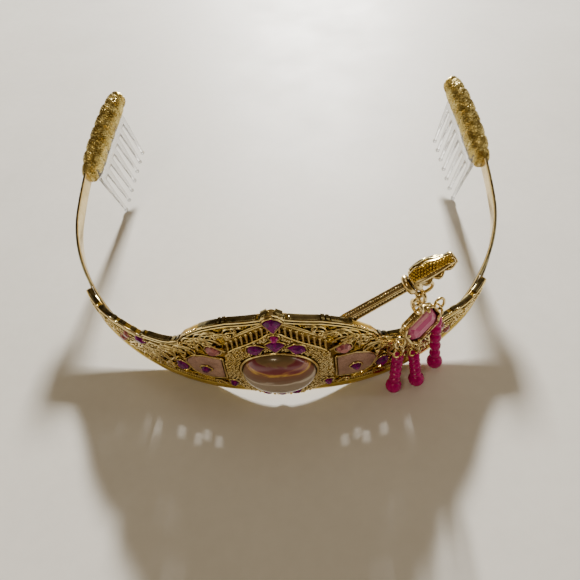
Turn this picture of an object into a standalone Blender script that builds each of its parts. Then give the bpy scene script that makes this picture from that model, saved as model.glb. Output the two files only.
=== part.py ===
# A costume crown: a pierced gold front on a thin headband with two hair combs.
# It is modelled level, with the headband in the XY plane and the front towards -Y,
# and then tipped back as it rests on a table: on the front of its rim and on the combs.
# Sizes are metres. Places on the crown's face are given by s, the arc along the front
# from the middle, v, the height over the rim's lower edge, and a distance out of the band.

import math

import bmesh
import bpy
import numpy as np
from mathutils import Matrix, Vector

# Headband
BAND_HALF_WIDTH = 0.0735
BAND_FRONT_DEPTH = 0.062
BAND_REAR_REACH = 0.118
BAND_WIDEST_Y = 0.066
BAND_REAR_END_Y = 0.119
STRIP_HEIGHT = 0.0055
STRIP_THICKNESS = 0.0009
RIM_BELOW_CENTRE = 0.0025
FACE_LEAN = math.radians(12)
ARCH_RISE = 0.005
ARCH_HALF_LENGTH = 0.040
CLEARANCE = 0.0003
BEND_STEP = 0.010
BAND_END_INSET = 0.0008

# Crown casting
CROWN_HALF_ARC = 0.078
CROWN_HEIGHT = 0.0465
PLATE_THICKNESS = 0.0015
EDGE_WIDTH = 0.0017
EDGE_OVERHANG = 0.0002
EDGE_PROUD = 0.0003
SHIELD_PROUD = 0.0010
RIB_PROUD = 0.0006
COLLAR_WALL = 0.0005
COLLAR_PROUD = 0.0006
SUNK = 0.00075
TIER_STEP = 0.0004
TOP_MOUNT_PROUD = 0.0008
TOP_MOUNT_MARGIN = 0.0009
RIB_MARGIN = 0.0006
MIDDLE_RIB_HALF_WIDTH = 0.0016
SLOTS_PER_SIDE = 8
SLOT_WIDTH = 0.0007
SLOT_END_MARGIN = 0.0004
FLUTE_FLOOR = 0.0005
BORDER_HEIGHT = 0.0040
BORDER_FOOT = 0.0004
BORDER_PROUD = 0.0003
GAP_COLUMN_PITCH = 0.0044
GAP_ROW_HEIGHT = 0.0070
GAP_WIDTH = 0.0021
GAP_LONGEST = 0.0085
GAP_MARGIN = 0.0006
GAP_ROW_SHIFT = 0.0006
GAP_FIRST_LEAN = math.radians(78)
GAP_LEAN_STEP = math.radians(3)
GAP_SIDES = 6
SCROLL_WIDTH = 0.0007

# Stones
GEM_RADIUS = 0.0105
GEM_DOME = 0.0060
GEM_CENTRE_V = 0.0174
STONE_HEIGHT = 0.0011
STONE_GIRDLE = 0.0004
STONE_TABLE = 0.52
STONE_SIDES = 10
GEM_SIDES = 28
GEM_SEAT_DEPTH = 0.0001
TOP_KITE_LENGTH = 0.0066
KITE_LENGTH = 0.0054
KITE_WIDTH = 0.0048
RHOMB_LENGTH = 0.0052
RHOMB_WIDTH = 0.0044
RHOMB_ANGLE = math.radians(23.7)
SMALL_ROUND_RADIUS = 0.0011
FOOT_STONE_LENGTH = 0.0036
FOOT_STONE_WIDTH = 0.0022
FOOT_STONE_ANGLE = math.radians(17)
SIDE_STONE_LENGTH = 0.0026
SIDE_STONE_WIDTH = 0.0018
PANEL_STONE_LENGTH = 0.0030
PANEL_STONE_WIDTH = 0.0026
MARQUISE_LENGTH = 0.0050
MARQUISE_WIDTH = 0.0042
MARQUISE_GAP = 0.0002
WING_MARQUISE_WIDTH = 0.0029
PINK_RADIUS = 0.0023
WING_PINK_RADIUS = 0.0015
PANEL_WIDTH = 0.0118
PANEL_HEIGHT = 0.0129
PANEL_THICKNESS = 0.0004
PANEL_FROM_SHIELD = 0.0014
PANEL_BELOW_GEM = 0.0090

# Side arm
ARM_START_S = 0.0222
ARM_START_V = 0.0366
ARM_RISE = math.radians(27.9)
ARM_LENGTH = 0.0180
ARM_WIDTH_START = 0.0032
ARM_WIDTH_END = 0.0024
ARM_THICKNESS = 0.0018
ARM_TAB = 0.0050
ARM_COLLAR_RADIUS = 0.0019
ARM_COLLAR_WIRE = 0.0011
ARM_COLLAR_SPACING = 0.0021
ARM_CORE_RADIUS = 0.0016
HEAD_LENGTH = 0.0108
HEAD_RADIUS = 0.0033
HEAD_WALL = 0.0009

# Pendant
PENDANT_S = 0.0423
PENDANT_V = 0.0288
PENDANT_OUT = 0.0045
PENDANT_FACING_UP = math.radians(14)
PENDANT_ROLL = math.radians(26)
PENDANT_STONE_LENGTH = 0.0100
PENDANT_STONE_WIDTH = 0.0060
PENDANT_STONE_HEIGHT = 0.0022
PENDANT_WALL = 0.0006
PENDANT_DEPTH = 0.0026
PENDANT_FLOOR = 0.0007
PENDANT_CORNER = 0.0014
RING_RADIUS = 0.0017
RING_WIRE = 0.00035
EYE_WIRE = 0.00042
ARM_EYE_RADIUS = 0.0026
TOP_EYE_RADIUS = 0.0022
BAIL_WIRE = 0.0005
DROP_BEAD_RADIUS = 0.0025
RONDELLE_RADIUS = 0.0017
RONDELLES_PER_DROP = 5
DROP_TIP_RADIUS = 0.0005
DROP_SIDES = 12
SECOND_DROP_LEAN = 0.0026
THIRD_DROP_LEAN = 0.0026

# Combs and wraps
COMB_REACH = 0.0298
COMB_THICKNESS = 0.0016
COMB_SPINE_TOP = 0.0015
COMB_SPINE_BOTTOM = 0.0070
COMB_INSIDE_BAND = 0.0040
COMB_BEHIND_WIDEST = 0.0200
COMB_FRONT_X = BAND_HALF_WIDTH - COMB_INSIDE_BAND
COMB_FRONT_Y = BAND_WIDEST_Y + COMB_BEHIND_WIDEST
COMB_TURN = math.radians(9.4)
COMB_LEAN = math.radians(3.8)
TEETH = 7
TOOTH_PITCH = 0.0047
TOOTH_ROOT = 0.0024
TOOTH_TIP = 0.0012
TOOTH_POINT = 0.0009
TOOTH_SHOULDER = 0.006
WRAP_FRONT_Y = 0.0835
WRAP_RADIUS_OUT = 0.0036
WRAP_RADIUS_UP = 0.0044
WRAP_INSET = 0.0004
WRAP_PAST_END = 0.0012
WRAP_TURNS = 7
WRAP_BULGE = 0.0004
WRAP_SIDES = 14

# Places that follow the sizes above
PLATE_BACK = CLEARANCE
PLATE_FRONT = PLATE_BACK + PLATE_THICKNESS
SHIELD_FRONT = PLATE_FRONT + SHIELD_PROUD
EDGE_FRONT = PLATE_FRONT + EDGE_PROUD
TOP_MOUNT_FRONT = PLATE_FRONT + TOP_MOUNT_PROUD
BEZEL_INNER = GEM_RADIUS + CLEARANCE
BEZEL_OUTER = BEZEL_INNER + COLLAR_WALL
CUT_ABOVE = SHIELD_FRONT + COLLAR_PROUD + SUNK

COLOURS = {
    "gold": ((0.62, 0.45, 0.16, 1), 0.28, 1.0),
    "pale gold": ((0.78, 0.66, 0.40, 1), 0.22, 1.0),
    "gold braid": ((0.55, 0.40, 0.10, 1), 0.5, 1.0),
    "clear": ((0.93, 0.94, 0.95, 1), 0.05, 0.0),
    "purple": ((0.20, 0.0, 0.16, 1), 0.08, 0.0),
    "magenta": ((0.52, 0.0, 0.16, 1), 0.1, 0.0),
    "pink": ((0.72, 0.22, 0.32, 1), 0.1, 0.0),
    "mauve enamel": ((0.40, 0.20, 0.18, 1), 0.5, 0.0),
}

# The upper outline of the right half: shares of the half arc and of the height.
TOP_EDGE = (
    (0.000, 1.000), (0.033, 0.996), (0.038, 0.968), (0.085, 0.948), (0.137, 0.931), (0.171, 0.920),
    (0.194, 0.903), (0.228, 0.877), (0.267, 0.839), (0.310, 0.781), (0.359, 0.692), (0.395, 0.581),
    (0.433, 0.529), (0.472, 0.492), (0.503, 0.471), (0.558, 0.434), (0.574, 0.422), (0.585, 0.370),
    (0.641, 0.348), (0.705, 0.314), (0.769, 0.256), (0.833, 0.189), (0.897, 0.133), (0.962, 0.099),
    (1.000, 0.090), (0.997, 0.056),
)

# Shares of the half arc and of the height
WING_FOOT = 0.97
BORDER_REACH = 0.93
WING_GAPS_START = 0.475
WING_GAPS_END = 0.80
PINK_PLACE = (0.246, 0.560)
WING_MARQUISE_PLACE = (0.592, 0.325)
WING_UPPER_PINK_PLACE = (0.672, 0.250)
WING_LOWER_PINK_PLACE = (0.705, 0.135)
TOP_STONE_SHARE = 0.925
RIB_SPRING_SHARE = 0.12

# The shield round the gem, right half from the top: distances from the gem's middle,
# as shares of the bezel's outer radius.
SHIELD_EDGE = (
    (0.000, 1.900), (0.100, 1.900), (0.290, 1.700), (0.640, 1.400), (1.060, 1.080), (1.340, 0.760),
    (1.400, 0.200), (1.400, -0.500), (1.250, -0.950), (0.900, -1.280), (0.480, -1.540), (0.000, -1.600),
)

# The enamel panel: shares of its width, away from the middle, and of its height.
PANEL_EDGE = (
    (0.00, 0.06), (0.30, 0.00), (0.62, 0.02), (0.84, 0.16), (1.00, 0.50), (0.96, 0.66),
    (0.78, 0.86), (0.45, 1.00), (0.00, 0.96),
)

# Leaf-shaped gaps near the middle, right half: shares of the half arc and of the height for the
# centre, then the length and width as shares of the height, then the slope in degrees.
LEAF_GAPS = (
    (0.215, 0.806, 0.085, 0.030, -34), (0.265, 0.761, 0.085, 0.030, -50), (0.205, 0.735, 0.075, 0.028, -30),
    (0.300, 0.681, 0.085, 0.030, -62), (0.205, 0.681, 0.064, 0.028, 20), (0.262, 0.639, 0.064, 0.028, 40),
    (0.330, 0.596, 0.075, 0.028, -70), (0.310, 0.516, 0.075, 0.028, 20), (0.350, 0.447, 0.075, 0.028, 60),
    (0.375, 0.341, 0.075, 0.028, 90), (0.425, 0.351, 0.085, 0.030, 70), (0.325, 0.149, 0.064, 0.023, 20),
    (0.290, 0.128, 0.064, 0.023, 0), (0.240, 0.128, 0.064, 0.023, 0), (0.395, 0.149, 0.064, 0.026, 0),
    (0.430, 0.245, 0.075, 0.028, 80), (0.405, 0.452, 0.085, 0.030, 70),
)

# Raised scrolls, right half: centre as shares of the half arc and of the height, radius as a
# share of the height, first angle and sweep in degrees.
SCROLLS = (
    (0.150, 0.889, 0.043, 150, -230), (0.245, 0.793, 0.048, 120, -240), (0.235, 0.703, 0.047, 200, -230),
    (0.320, 0.623, 0.045, 90, -240), (0.400, 0.468, 0.045, 160, -240), (0.500, 0.378, 0.040, 160, -240),
)


def band_path():
    """Samples of the band's outer line: arc length, x, y, and the outward direction."""
    front = np.linspace(0.0, math.pi / 2, 900)
    reach = math.asin(min(0.98, (BAND_REAR_END_Y - BAND_WIDEST_Y) / BAND_REAR_REACH))
    rear = np.linspace(0.0, reach, 500)[1:]
    x = BAND_HALF_WIDTH * np.concatenate([np.sin(front), np.cos(rear)])
    y = np.concatenate([
        BAND_WIDEST_Y - BAND_FRONT_DEPTH * np.cos(front),
        BAND_WIDEST_Y + BAND_REAR_REACH * np.sin(rear),
    ])
    steps = np.hypot(np.diff(x), np.diff(y))
    arc = np.concatenate([[0.0], np.cumsum(steps)])
    return arc, x, y


PATH_ARC, PATH_X, PATH_Y = band_path()
BAND_HALF_LENGTH = float(PATH_ARC[-1])


def on_band(s):
    """The outer line's point and outward direction at the arc s, negative on the left."""
    side = 1.0 if s >= 0 else -1.0
    along = min(abs(s), BAND_HALF_LENGTH)
    step = 0.0002
    x = float(np.interp(along, PATH_ARC, PATH_X))
    y = float(np.interp(along, PATH_ARC, PATH_Y))
    before = max(along - step, 0.0)
    after = min(along + step, BAND_HALF_LENGTH)
    tangent_x = float(np.interp(after, PATH_ARC, PATH_X) - np.interp(before, PATH_ARC, PATH_X))
    tangent_y = float(np.interp(after, PATH_ARC, PATH_Y) - np.interp(before, PATH_ARC, PATH_Y))
    if along < step:
        tangent_x, tangent_y = 1.0, 0.0
    length = math.hypot(tangent_x, tangent_y)
    return Vector((side * x, y)), Vector((side * tangent_y / length, -tangent_x / length))


def lean_at(s):
    """The face's lean: full along the crown and none where the band is widest."""
    widest = float(np.interp(BAND_WIDEST_Y, PATH_Y, PATH_ARC))
    share = (abs(s) - CROWN_HALF_ARC) / max(widest - CROWN_HALF_ARC, 0.001)
    return FACE_LEAN * (1.0 - min(max(share, 0.0), 1.0))


def arch_at(s):
    """How far the rim's lower edge rises over the table near the middle."""
    if abs(s) >= ARCH_HALF_LENGTH:
        return 0.0
    return ARCH_RISE * math.cos(math.pi / 2 * s / ARCH_HALF_LENGTH) ** 2


def face_axes(s):
    """The face's directions at the arc s: along, up and out."""
    _, outward = on_band(s)
    lean = lean_at(s)
    along = Vector((-outward.y, outward.x, 0.0))
    up = Vector((-outward.x * math.sin(lean), -outward.y * math.sin(lean), math.cos(lean)))
    out = Vector((outward.x * math.cos(lean), outward.y * math.cos(lean), math.sin(lean)))
    return along, up, out


def on_face(s, v, out_by):
    """A point of the face, from the arc, the height over the rim's edge and the distance out."""
    point, _ = on_band(s)
    _, up, out = face_axes(s)
    foot = Vector((point.x, point.y, arch_at(s) - RIM_BELOW_CENTRE))
    return foot + up * v + out * out_by


def comb_point(y_share, down):
    """A point of the right comb's middle plane, from its share along and its depth."""
    width = (TEETH - 1) * TOOTH_PITCH
    back = y_share * width
    x = COMB_FRONT_X - back * math.sin(COMB_TURN) - down * math.sin(COMB_LEAN) * math.cos(COMB_TURN)
    y = COMB_FRONT_Y + back * math.cos(COMB_TURN) - down * math.sin(COMB_LEAN) * math.sin(COMB_TURN)
    return Vector((x, y, -down * math.cos(COMB_LEAN)))


def rest_tilt():
    """The tilt that puts the rim's lowest point and the front teeth on one level."""
    tooth = comb_point(0.0, COMB_REACH)
    arcs = np.linspace(0.0, CROWN_HALF_ARC, 200)
    rim = [on_face(float(s), 0.0, PLATE_BACK) for s in arcs]
    low, high = 0.0, math.radians(45)
    for _ in range(40):
        tilt = (low + high) / 2
        rim_height = min(p.y * math.sin(tilt) + p.z * math.cos(tilt) for p in rim)
        tooth_height = tooth.y * math.sin(tilt) + tooth.z * math.cos(tilt)
        if tooth_height < rim_height:
            low = tilt
        else:
            high = tilt
    return (low + high) / 2, rim_height


TILT, TABLE_HEIGHT = rest_tilt()
DOWN = Vector((0.0, -math.sin(TILT), -math.cos(TILT)))


def height_over_table(point):
    return -point.dot(DOWN) - TABLE_HEIGHT


# Building helpers

for old in list(bpy.data.objects):
    bpy.data.objects.remove(old)

PARTS = bpy.data.collections.new("costume_crown")
TOOLS = bpy.data.collections.new("cutters")
bpy.context.scene.collection.children.link(PARTS)
bpy.context.scene.collection.children.link(TOOLS)


def make_material(name):
    colour, roughness, metallic = COLOURS[name]
    material = bpy.data.materials.new(name)
    material.use_nodes = True
    shader = material.node_tree.nodes["Principled BSDF"]
    shader.inputs["Base Color"].default_value = colour
    shader.inputs["Roughness"].default_value = roughness
    shader.inputs["Metallic"].default_value = metallic
    material.diffuse_color = colour
    return material


MATERIALS = {name: make_material(name) for name in COLOURS}


def evaluated_mesh(obj):
    """The object's mesh with its modifiers, or its curve's surface, welded."""
    bpy.context.view_layer.update()
    graph = bpy.context.evaluated_depsgraph_get()
    mesh = bpy.data.meshes.new_from_object(obj.evaluated_get(graph))
    work = bmesh.new()
    work.from_mesh(mesh)
    bmesh.ops.remove_doubles(work, verts=work.verts, dist=1e-7)
    work.to_mesh(mesh)
    work.free()
    return mesh


def new_object(name, mesh, material, collection=PARTS):
    obj = bpy.data.objects.new(name, mesh)
    obj.data.name = name
    mesh.materials.clear()
    mesh.materials.append(MATERIALS[material])
    collection.objects.link(obj)
    return obj


def curve_to_mesh(name, curve, matrix):
    obj = bpy.data.objects.new(name, curve)
    TOOLS.objects.link(obj)
    mesh = evaluated_mesh(obj)
    bpy.data.objects.remove(obj)
    mesh.transform(matrix)
    return mesh


def prism(outlines, low, high):
    """A flat piece with the given closed outlines, from one level to another."""
    curve = bpy.data.curves.new("outline", "CURVE")
    curve.dimensions = "2D"
    curve.fill_mode = "BOTH"
    curve.extrude = (high - low) / 2
    for outline in outlines:
        spline = curve.splines.new("POLY")
        spline.points.add(len(outline) - 1)
        for point, (x, y) in zip(spline.points, outline):
            point.co = (x, y, 0.0, 1.0)
        spline.use_cyclic_u = True
    return curve_to_mesh("prism", curve, Matrix.Translation((0.0, 0.0, (low + high) / 2)))


def loft(rings):
    """A closed solid through rings of equal count, its ends capped."""
    work = bmesh.new()
    rows = [[work.verts.new(point) for point in ring] for ring in rings]
    count = len(rows[0])
    for lower, upper in zip(rows, rows[1:]):
        for i in range(count):
            j = (i + 1) % count
            work.faces.new((lower[i], lower[j], upper[j], upper[i]))
    work.faces.new(list(reversed(rows[0])))
    work.faces.new(rows[-1])
    bmesh.ops.recalc_face_normals(work, faces=work.faces)
    mesh = bpy.data.meshes.new("loft")
    work.to_mesh(mesh)
    work.free()
    return mesh


def turned(profile, steps):
    """A solid turned about the Z axis, from radius and height down its outer side."""
    mesh = bpy.data.meshes.new("profile")
    points = [(radius, 0.0, height) for radius, height in profile]
    mesh.from_pydata(points, [(i, i + 1) for i in range(len(points) - 1)], [])
    obj = bpy.data.objects.new("profile", mesh)
    TOOLS.objects.link(obj)
    screw = obj.modifiers.new("turn", "SCREW")
    screw.steps = steps
    screw.render_steps = steps
    screw.use_merge_vertices = True
    screw.merge_threshold = 1e-6
    result = evaluated_mesh(obj)
    bpy.data.objects.remove(obj)
    return result


def joined(meshes):
    """One mesh holding several."""
    work = bmesh.new()
    for mesh in meshes:
        work.from_mesh(mesh)
    result = bpy.data.meshes.new("joined")
    work.to_mesh(result)
    work.free()
    return result


def combine(mesh, tools, operation):
    """The mesh after a Boolean with each tool in turn."""
    base = bpy.data.objects.new("base", mesh)
    TOOLS.objects.link(base)
    for tool_mesh in tools:
        tool = bpy.data.objects.new("tool", tool_mesh)
        tool.hide_render = True
        tool.display_type = "WIRE"
        TOOLS.objects.link(tool)
        modifier = base.modifiers.new("combine", "BOOLEAN")
        modifier.operation = operation
        modifier.object = tool
        base.data = evaluated_mesh(base)
        base.modifiers.clear()
        bpy.data.objects.remove(tool)
    result = base.data
    bpy.data.objects.remove(base)
    return result


def bent(mesh):
    """A flat mesh, laid out as arc, height and distance out, bent onto the face."""
    work = bmesh.new()
    work.from_mesh(mesh)
    bmesh.ops.dissolve_limit(work, angle_limit=math.radians(0.5), verts=work.verts, edges=work.edges)
    first = min(vert.co.x for vert in work.verts)
    last = max(vert.co.x for vert in work.verts)
    for i in range(math.ceil(first / BEND_STEP), math.floor(last / BEND_STEP) + 1):
        geometry = list(work.verts) + list(work.edges) + list(work.faces)
        bmesh.ops.bisect_plane(work, geom=geometry, dist=1e-6,
                               plane_co=(i * BEND_STEP, 0, 0), plane_no=(1, 0, 0))
    bmesh.ops.triangulate(work, faces=work.faces)
    for vert in work.verts:
        vert.co = on_face(vert.co.x, vert.co.y, vert.co.z)
    bmesh.ops.remove_doubles(work, verts=work.verts, dist=2e-6)
    work.to_mesh(mesh)
    work.free()
    return mesh


def centred(obj):
    """The object's origin moved to the middle of its mesh, which stays in place."""
    points = [vert.co for vert in obj.data.vertices]
    low = Vector([min(p[i] for p in points) for i in range(3)])
    high = Vector([max(p[i] for p in points) for i in range(3)])
    middle = (low + high) / 2
    obj.data.transform(Matrix.Translation(-middle))
    obj.location = middle
    return obj


def smooth(obj, degrees=40):
    obj.data.shade_smooth()
    obj.data.set_sharp_from_angle(angle=math.radians(degrees))
    return obj


def finished(name, mesh, material, degrees=40):
    return smooth(centred(new_object(name, mesh, material)), degrees)


def mirrored(mesh):
    """A copy of the mesh, mirrored from the right side to the left."""
    copy = mesh.copy()
    copy.transform(Matrix.Scale(-1.0, 4, (1.0, 0.0, 0.0)))
    copy.flip_normals()
    return copy


# Outlines in the flat layout

def both_sides(half):
    """A closed outline from its right half, listed from the top down to the foot."""
    left = [(-x, y) for x, y in reversed(half) if x > 1e-6]
    return list(half) + left


def ellipse(centre, length, width, slope, count=12, pointed=0.0):
    """A round, oval or pointed outline."""
    outline = []
    for i in range(count):
        angle = 2 * math.pi * i / count
        narrow = 1.0 - pointed * abs(math.cos(angle)) ** 2
        x = length / 2 * math.cos(angle)
        y = width / 2 * math.sin(angle) * narrow
        outline.append((
            centre[0] + x * math.cos(slope) - y * math.sin(slope),
            centre[1] + x * math.sin(slope) + y * math.cos(slope),
        ))
    return outline


def kite(centre, length, width, slope=0.0, shoulder=0.22):
    """A kite with its long point down, each side broken once, listed anticlockwise."""
    half = [(0.0, -0.5), (0.27, -0.12), (0.5, shoulder), (0.26, 0.42), (0.0, 0.5)]
    shape = half + [(-x, y) for x, y in reversed(half[1:-1])]
    points = [(x * width, y * length) for x, y in shape]
    return [(
        centre[0] + x * math.cos(slope) - y * math.sin(slope),
        centre[1] + x * math.sin(slope) + y * math.cos(slope),
    ) for x, y in points]


def grown(outline, by):
    """An anticlockwise outline moved outwards by an even distance."""
    result = []
    for i, point in enumerate(outline):
        here = Vector(point)
        before = (here - Vector(outline[i - 1])).normalized()
        after = (Vector(outline[(i + 1) % len(outline)]) - here).normalized()
        normal_a = Vector((before.y, -before.x))
        normal_b = Vector((after.y, -after.x))
        middle = (normal_a + normal_b).normalized()
        stretch = 1.0 / max(middle.dot(normal_a), 0.55)
        moved = here + middle * by * stretch
        result.append((moved.x, moved.y))
    return result


def scaled(outline, share):
    x0 = sum(p[0] for p in outline) / len(outline)
    y0 = sum(p[1] for p in outline) / len(outline)
    return [(x0 + (x - x0) * share, y0 + (y - y0) * share) for x, y in outline]


def mirror_outline(outline):
    return [(-x, y) for x, y in reversed(outline)]


def top_edge():
    return [(s * CROWN_HALF_ARC, v * CROWN_HEIGHT) for s, v in TOP_EDGE]


def plate_outline():
    wing_foot = (WING_FOOT * CROWN_HALF_ARC, 0.0)
    return both_sides(top_edge() + [wing_foot])


def shield_outline():
    half = [(x * BEZEL_OUTER, GEM_CENTRE_V + y * BEZEL_OUTER) for x, y in SHIELD_EDGE]
    return both_sides(half)


def shield_top_at(s):
    """The height of the shield's upper edge at the arc s."""
    half = [(x * BEZEL_OUTER, GEM_CENTRE_V + y * BEZEL_OUTER) for x, y in SHIELD_EDGE[:6]]
    return float(np.interp(abs(s), [p[0] for p in half], [p[1] for p in half]))


SHIELD_HALF_ARC = max(x for x, y in SHIELD_EDGE) * BEZEL_OUTER
RIB_HALF_ARC = 0.885 * SHIELD_HALF_ARC
TOP_STONE_V = CROWN_HEIGHT * TOP_STONE_SHARE


def rib_top_at(s):
    """The arch over the ribs, from under the top stone down to the shield's shoulder."""
    share = min(abs(s) / RIB_HALF_ARC, 1.0)
    crest = TOP_STONE_V
    spring = shield_top_at(RIB_HALF_ARC) + RIB_SPRING_SHARE * CROWN_HEIGHT
    return crest - (crest - spring) * share ** 1.2


def panel_outline():
    inner_s = SHIELD_HALF_ARC + PANEL_FROM_SHIELD
    foot_v = GEM_CENTRE_V - PANEL_BELOW_GEM
    return [(inner_s + x * PANEL_WIDTH, foot_v + y * PANEL_HEIGHT) for x, y in PANEL_EDGE]


# Stones: name, outline, the surface that it sits on, material, paired

def crown_place(shares):
    return shares[0] * CROWN_HALF_ARC, shares[1] * CROWN_HEIGHT


def round_outline(centre, radius):
    return ellipse(centre, 2 * radius, 2 * radius, 0, STONE_SIDES)


def top_stone_outline():
    return kite((0.0, TOP_STONE_V), TOP_KITE_LENGTH, KITE_WIDTH)


def stone_table():
    stack = 2 * CLEARANCE + COLLAR_WALL
    kite_v = GEM_CENTRE_V + BEZEL_OUTER + stack - CLEARANCE + KITE_LENGTH / 2
    round_v = kite_v + KITE_LENGTH / 2 + stack + SMALL_ROUND_RADIUS
    rhomb_reach = BEZEL_OUTER + COLLAR_WALL + CLEARANCE + RHOMB_WIDTH / 2
    rhomb = (rhomb_reach * math.sin(RHOMB_ANGLE), GEM_CENTRE_V + rhomb_reach * math.cos(RHOMB_ANGLE))
    foot_reach = BEZEL_OUTER + COLLAR_WALL + CLEARANCE + FOOT_STONE_WIDTH
    foot = (foot_reach * math.sin(FOOT_STONE_ANGLE), GEM_CENTRE_V - foot_reach * math.cos(FOOT_STONE_ANGLE))
    foot_middle = (0.0, GEM_CENTRE_V - foot_reach)
    side = (SHIELD_HALF_ARC - 0.7 * SIDE_STONE_LENGTH, GEM_CENTRE_V - 0.80 * BEZEL_OUTER)
    panel = panel_outline()
    panel_middle = (panel[0][0] + 0.45 * PANEL_WIDTH, panel[0][1] + 0.40 * PANEL_HEIGHT)
    marquise = (panel[4][0] + MARQUISE_WIDTH / 2 + MARQUISE_GAP, panel[4][1] - 0.30 * PANEL_HEIGHT)
    small = STONE_SIDES
    return (
        ("top_stone", top_stone_outline(), TOP_MOUNT_FRONT, "purple", False),
        ("big_kite_stone", kite((0.0, kite_v), KITE_LENGTH, KITE_WIDTH), SHIELD_FRONT, "purple", False),
        ("small_round_stone", round_outline((0.0, round_v), SMALL_ROUND_RADIUS),
         SHIELD_FRONT, "magenta", False),
        ("rhomb_stone", kite(rhomb, RHOMB_WIDTH, RHOMB_LENGTH, -RHOMB_ANGLE, 0.0),
         SHIELD_FRONT, "purple", True),
        ("foot_stone", ellipse(foot, FOOT_STONE_LENGTH, FOOT_STONE_WIDTH, FOOT_STONE_ANGLE, small, 0.4),
         SHIELD_FRONT, "purple", True),
        ("foot_middle_stone", ellipse(foot_middle, 0.9 * FOOT_STONE_LENGTH, FOOT_STONE_WIDTH, 0, small, 0.4),
         SHIELD_FRONT, "purple", False),
        ("side_stone", ellipse(side, SIDE_STONE_LENGTH, SIDE_STONE_WIDTH, math.radians(35), small, 0.3),
         SHIELD_FRONT, "purple", True),
        ("panel_stone", ellipse(panel_middle, PANEL_STONE_LENGTH, PANEL_STONE_WIDTH, 0, small, 0.5),
         PLATE_FRONT + CLEARANCE + PANEL_THICKNESS, "purple", True),
        ("marquise_stone", ellipse(marquise, MARQUISE_LENGTH, MARQUISE_WIDTH, math.radians(60), small, 0.35),
         PLATE_FRONT, "purple", True),
        ("pink_stone", round_outline(crown_place(PINK_PLACE), PINK_RADIUS), PLATE_FRONT, "pink", True),
        ("wing_marquise_stone",
         ellipse(crown_place(WING_MARQUISE_PLACE), MARQUISE_LENGTH, WING_MARQUISE_WIDTH, math.radians(-12),
                 small, 0.4),
         PLATE_FRONT, "purple", True),
        ("wing_upper_pink_stone", round_outline(crown_place(WING_UPPER_PINK_PLACE), WING_PINK_RADIUS),
         PLATE_FRONT, "pink", True),
        ("wing_lower_pink_stone", round_outline(crown_place(WING_LOWER_PINK_PLACE), WING_PINK_RADIUS),
         PLATE_FRONT, "pink", True),
    )


def cut_stone(outline, seat):
    """A flat-backed cut stone: a girdle, a ring of facets and a table."""
    return loft((
        [(x, y, seat) for x, y in outline],
        [(x, y, seat + STONE_GIRDLE) for x, y in outline],
        [(x, y, seat + STONE_HEIGHT) for x, y in scaled(outline, STONE_TABLE)],
    ))


def build_stones():
    for name, outline, surface, material, paired in stone_table():
        seat = surface + CLEARANCE
        sides = (("left_", mirror_outline(outline)), ("right_", outline)) if paired else (("", outline),)
        for prefix, shape in sides:
            finished(prefix + name, bent(cut_stone(shape, seat)), material, 15)


def collar_meshes():
    """Raised walls round the stones and the enamel, each a ring sunk into what carries it."""
    rings = []
    plain = ("panel_stone", "foot_stone", "foot_middle_stone", "side_stone", "wing_upper_pink_stone",
             "wing_lower_pink_stone", "small_round_stone")
    shapes = [(outline, surface, paired) for name, outline, surface, _, paired in stone_table()
              if name not in plain]
    shapes.append((panel_outline(), PLATE_FRONT, True))
    for outline, surface, paired in shapes:
        versions = (outline, mirror_outline(outline)) if paired else (outline,)
        for shape in versions:
            inner = grown(shape, CLEARANCE)
            outer = grown(shape, CLEARANCE + COLLAR_WALL)
            rings.append(prism([outer, inner], surface - SUNK, surface + COLLAR_PROUD))
    return rings


# Crown

def edge_meshes():
    """The thick upper edge: a band that follows the outline, a little over it and proud of it."""
    line = top_edge()[:-1]
    outer = [(s, v + EDGE_OVERHANG) for s, v in line]
    inner = [(s, v - EDGE_WIDTH) for s, v in reversed(line)]
    return prism([both_sides(outer + inner)], PLATE_BACK + TIER_STEP / 2, EDGE_FRONT)


def border_mesh():
    """The smooth solid border along the foot, a little proud of the pierced plate."""
    reach = BORDER_REACH * CROWN_HALF_ARC
    outline = [(-reach, BORDER_FOOT), (reach, BORDER_FOOT), (reach, BORDER_HEIGHT), (-reach, BORDER_HEIGHT)]
    return prism([outline], PLATE_BACK + BORDER_PROUD, PLATE_FRONT + BORDER_PROUD)


def rib_zone_mesh():
    """The arched field over the shield that the flutes are cut in."""
    count = 9
    arcs = [RIB_HALF_ARC * i / (count - 1) for i in range(count)]
    upper = [(s, rib_top_at(s) + RIB_MARGIN) for s in arcs]
    lower = [(s, shield_top_at(s) - RIB_MARGIN) for s in reversed(arcs)]
    return prism([both_sides(upper + lower)], PLATE_FRONT - SUNK, PLATE_FRONT + RIB_PROUD)


def slot_outlines():
    """Upright flutes between the ribs, closed at the back."""
    outlines = []
    pitch = (RIB_HALF_ARC - MIDDLE_RIB_HALF_WIDTH) / SLOTS_PER_SIDE
    for i in range(SLOTS_PER_SIDE):
        s = MIDDLE_RIB_HALF_WIDTH + pitch * (i + 0.5)
        low = shield_top_at(s - SLOT_WIDTH) + SLOT_END_MARGIN
        high = rib_top_at(s + SLOT_WIDTH) - SLOT_END_MARGIN
        if high - low > 2 * SLOT_WIDTH:
            outlines.append([(s - SLOT_WIDTH / 2, low), (s + SLOT_WIDTH / 2, low),
                             (s + SLOT_WIDTH / 2, high), (s - SLOT_WIDTH / 2, high)])
    return outlines


def top_edge_at(s):
    line = top_edge()[:-1]
    return float(np.interp(abs(s), [p[0] for p in line], [p[1] for p in line]))


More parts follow.
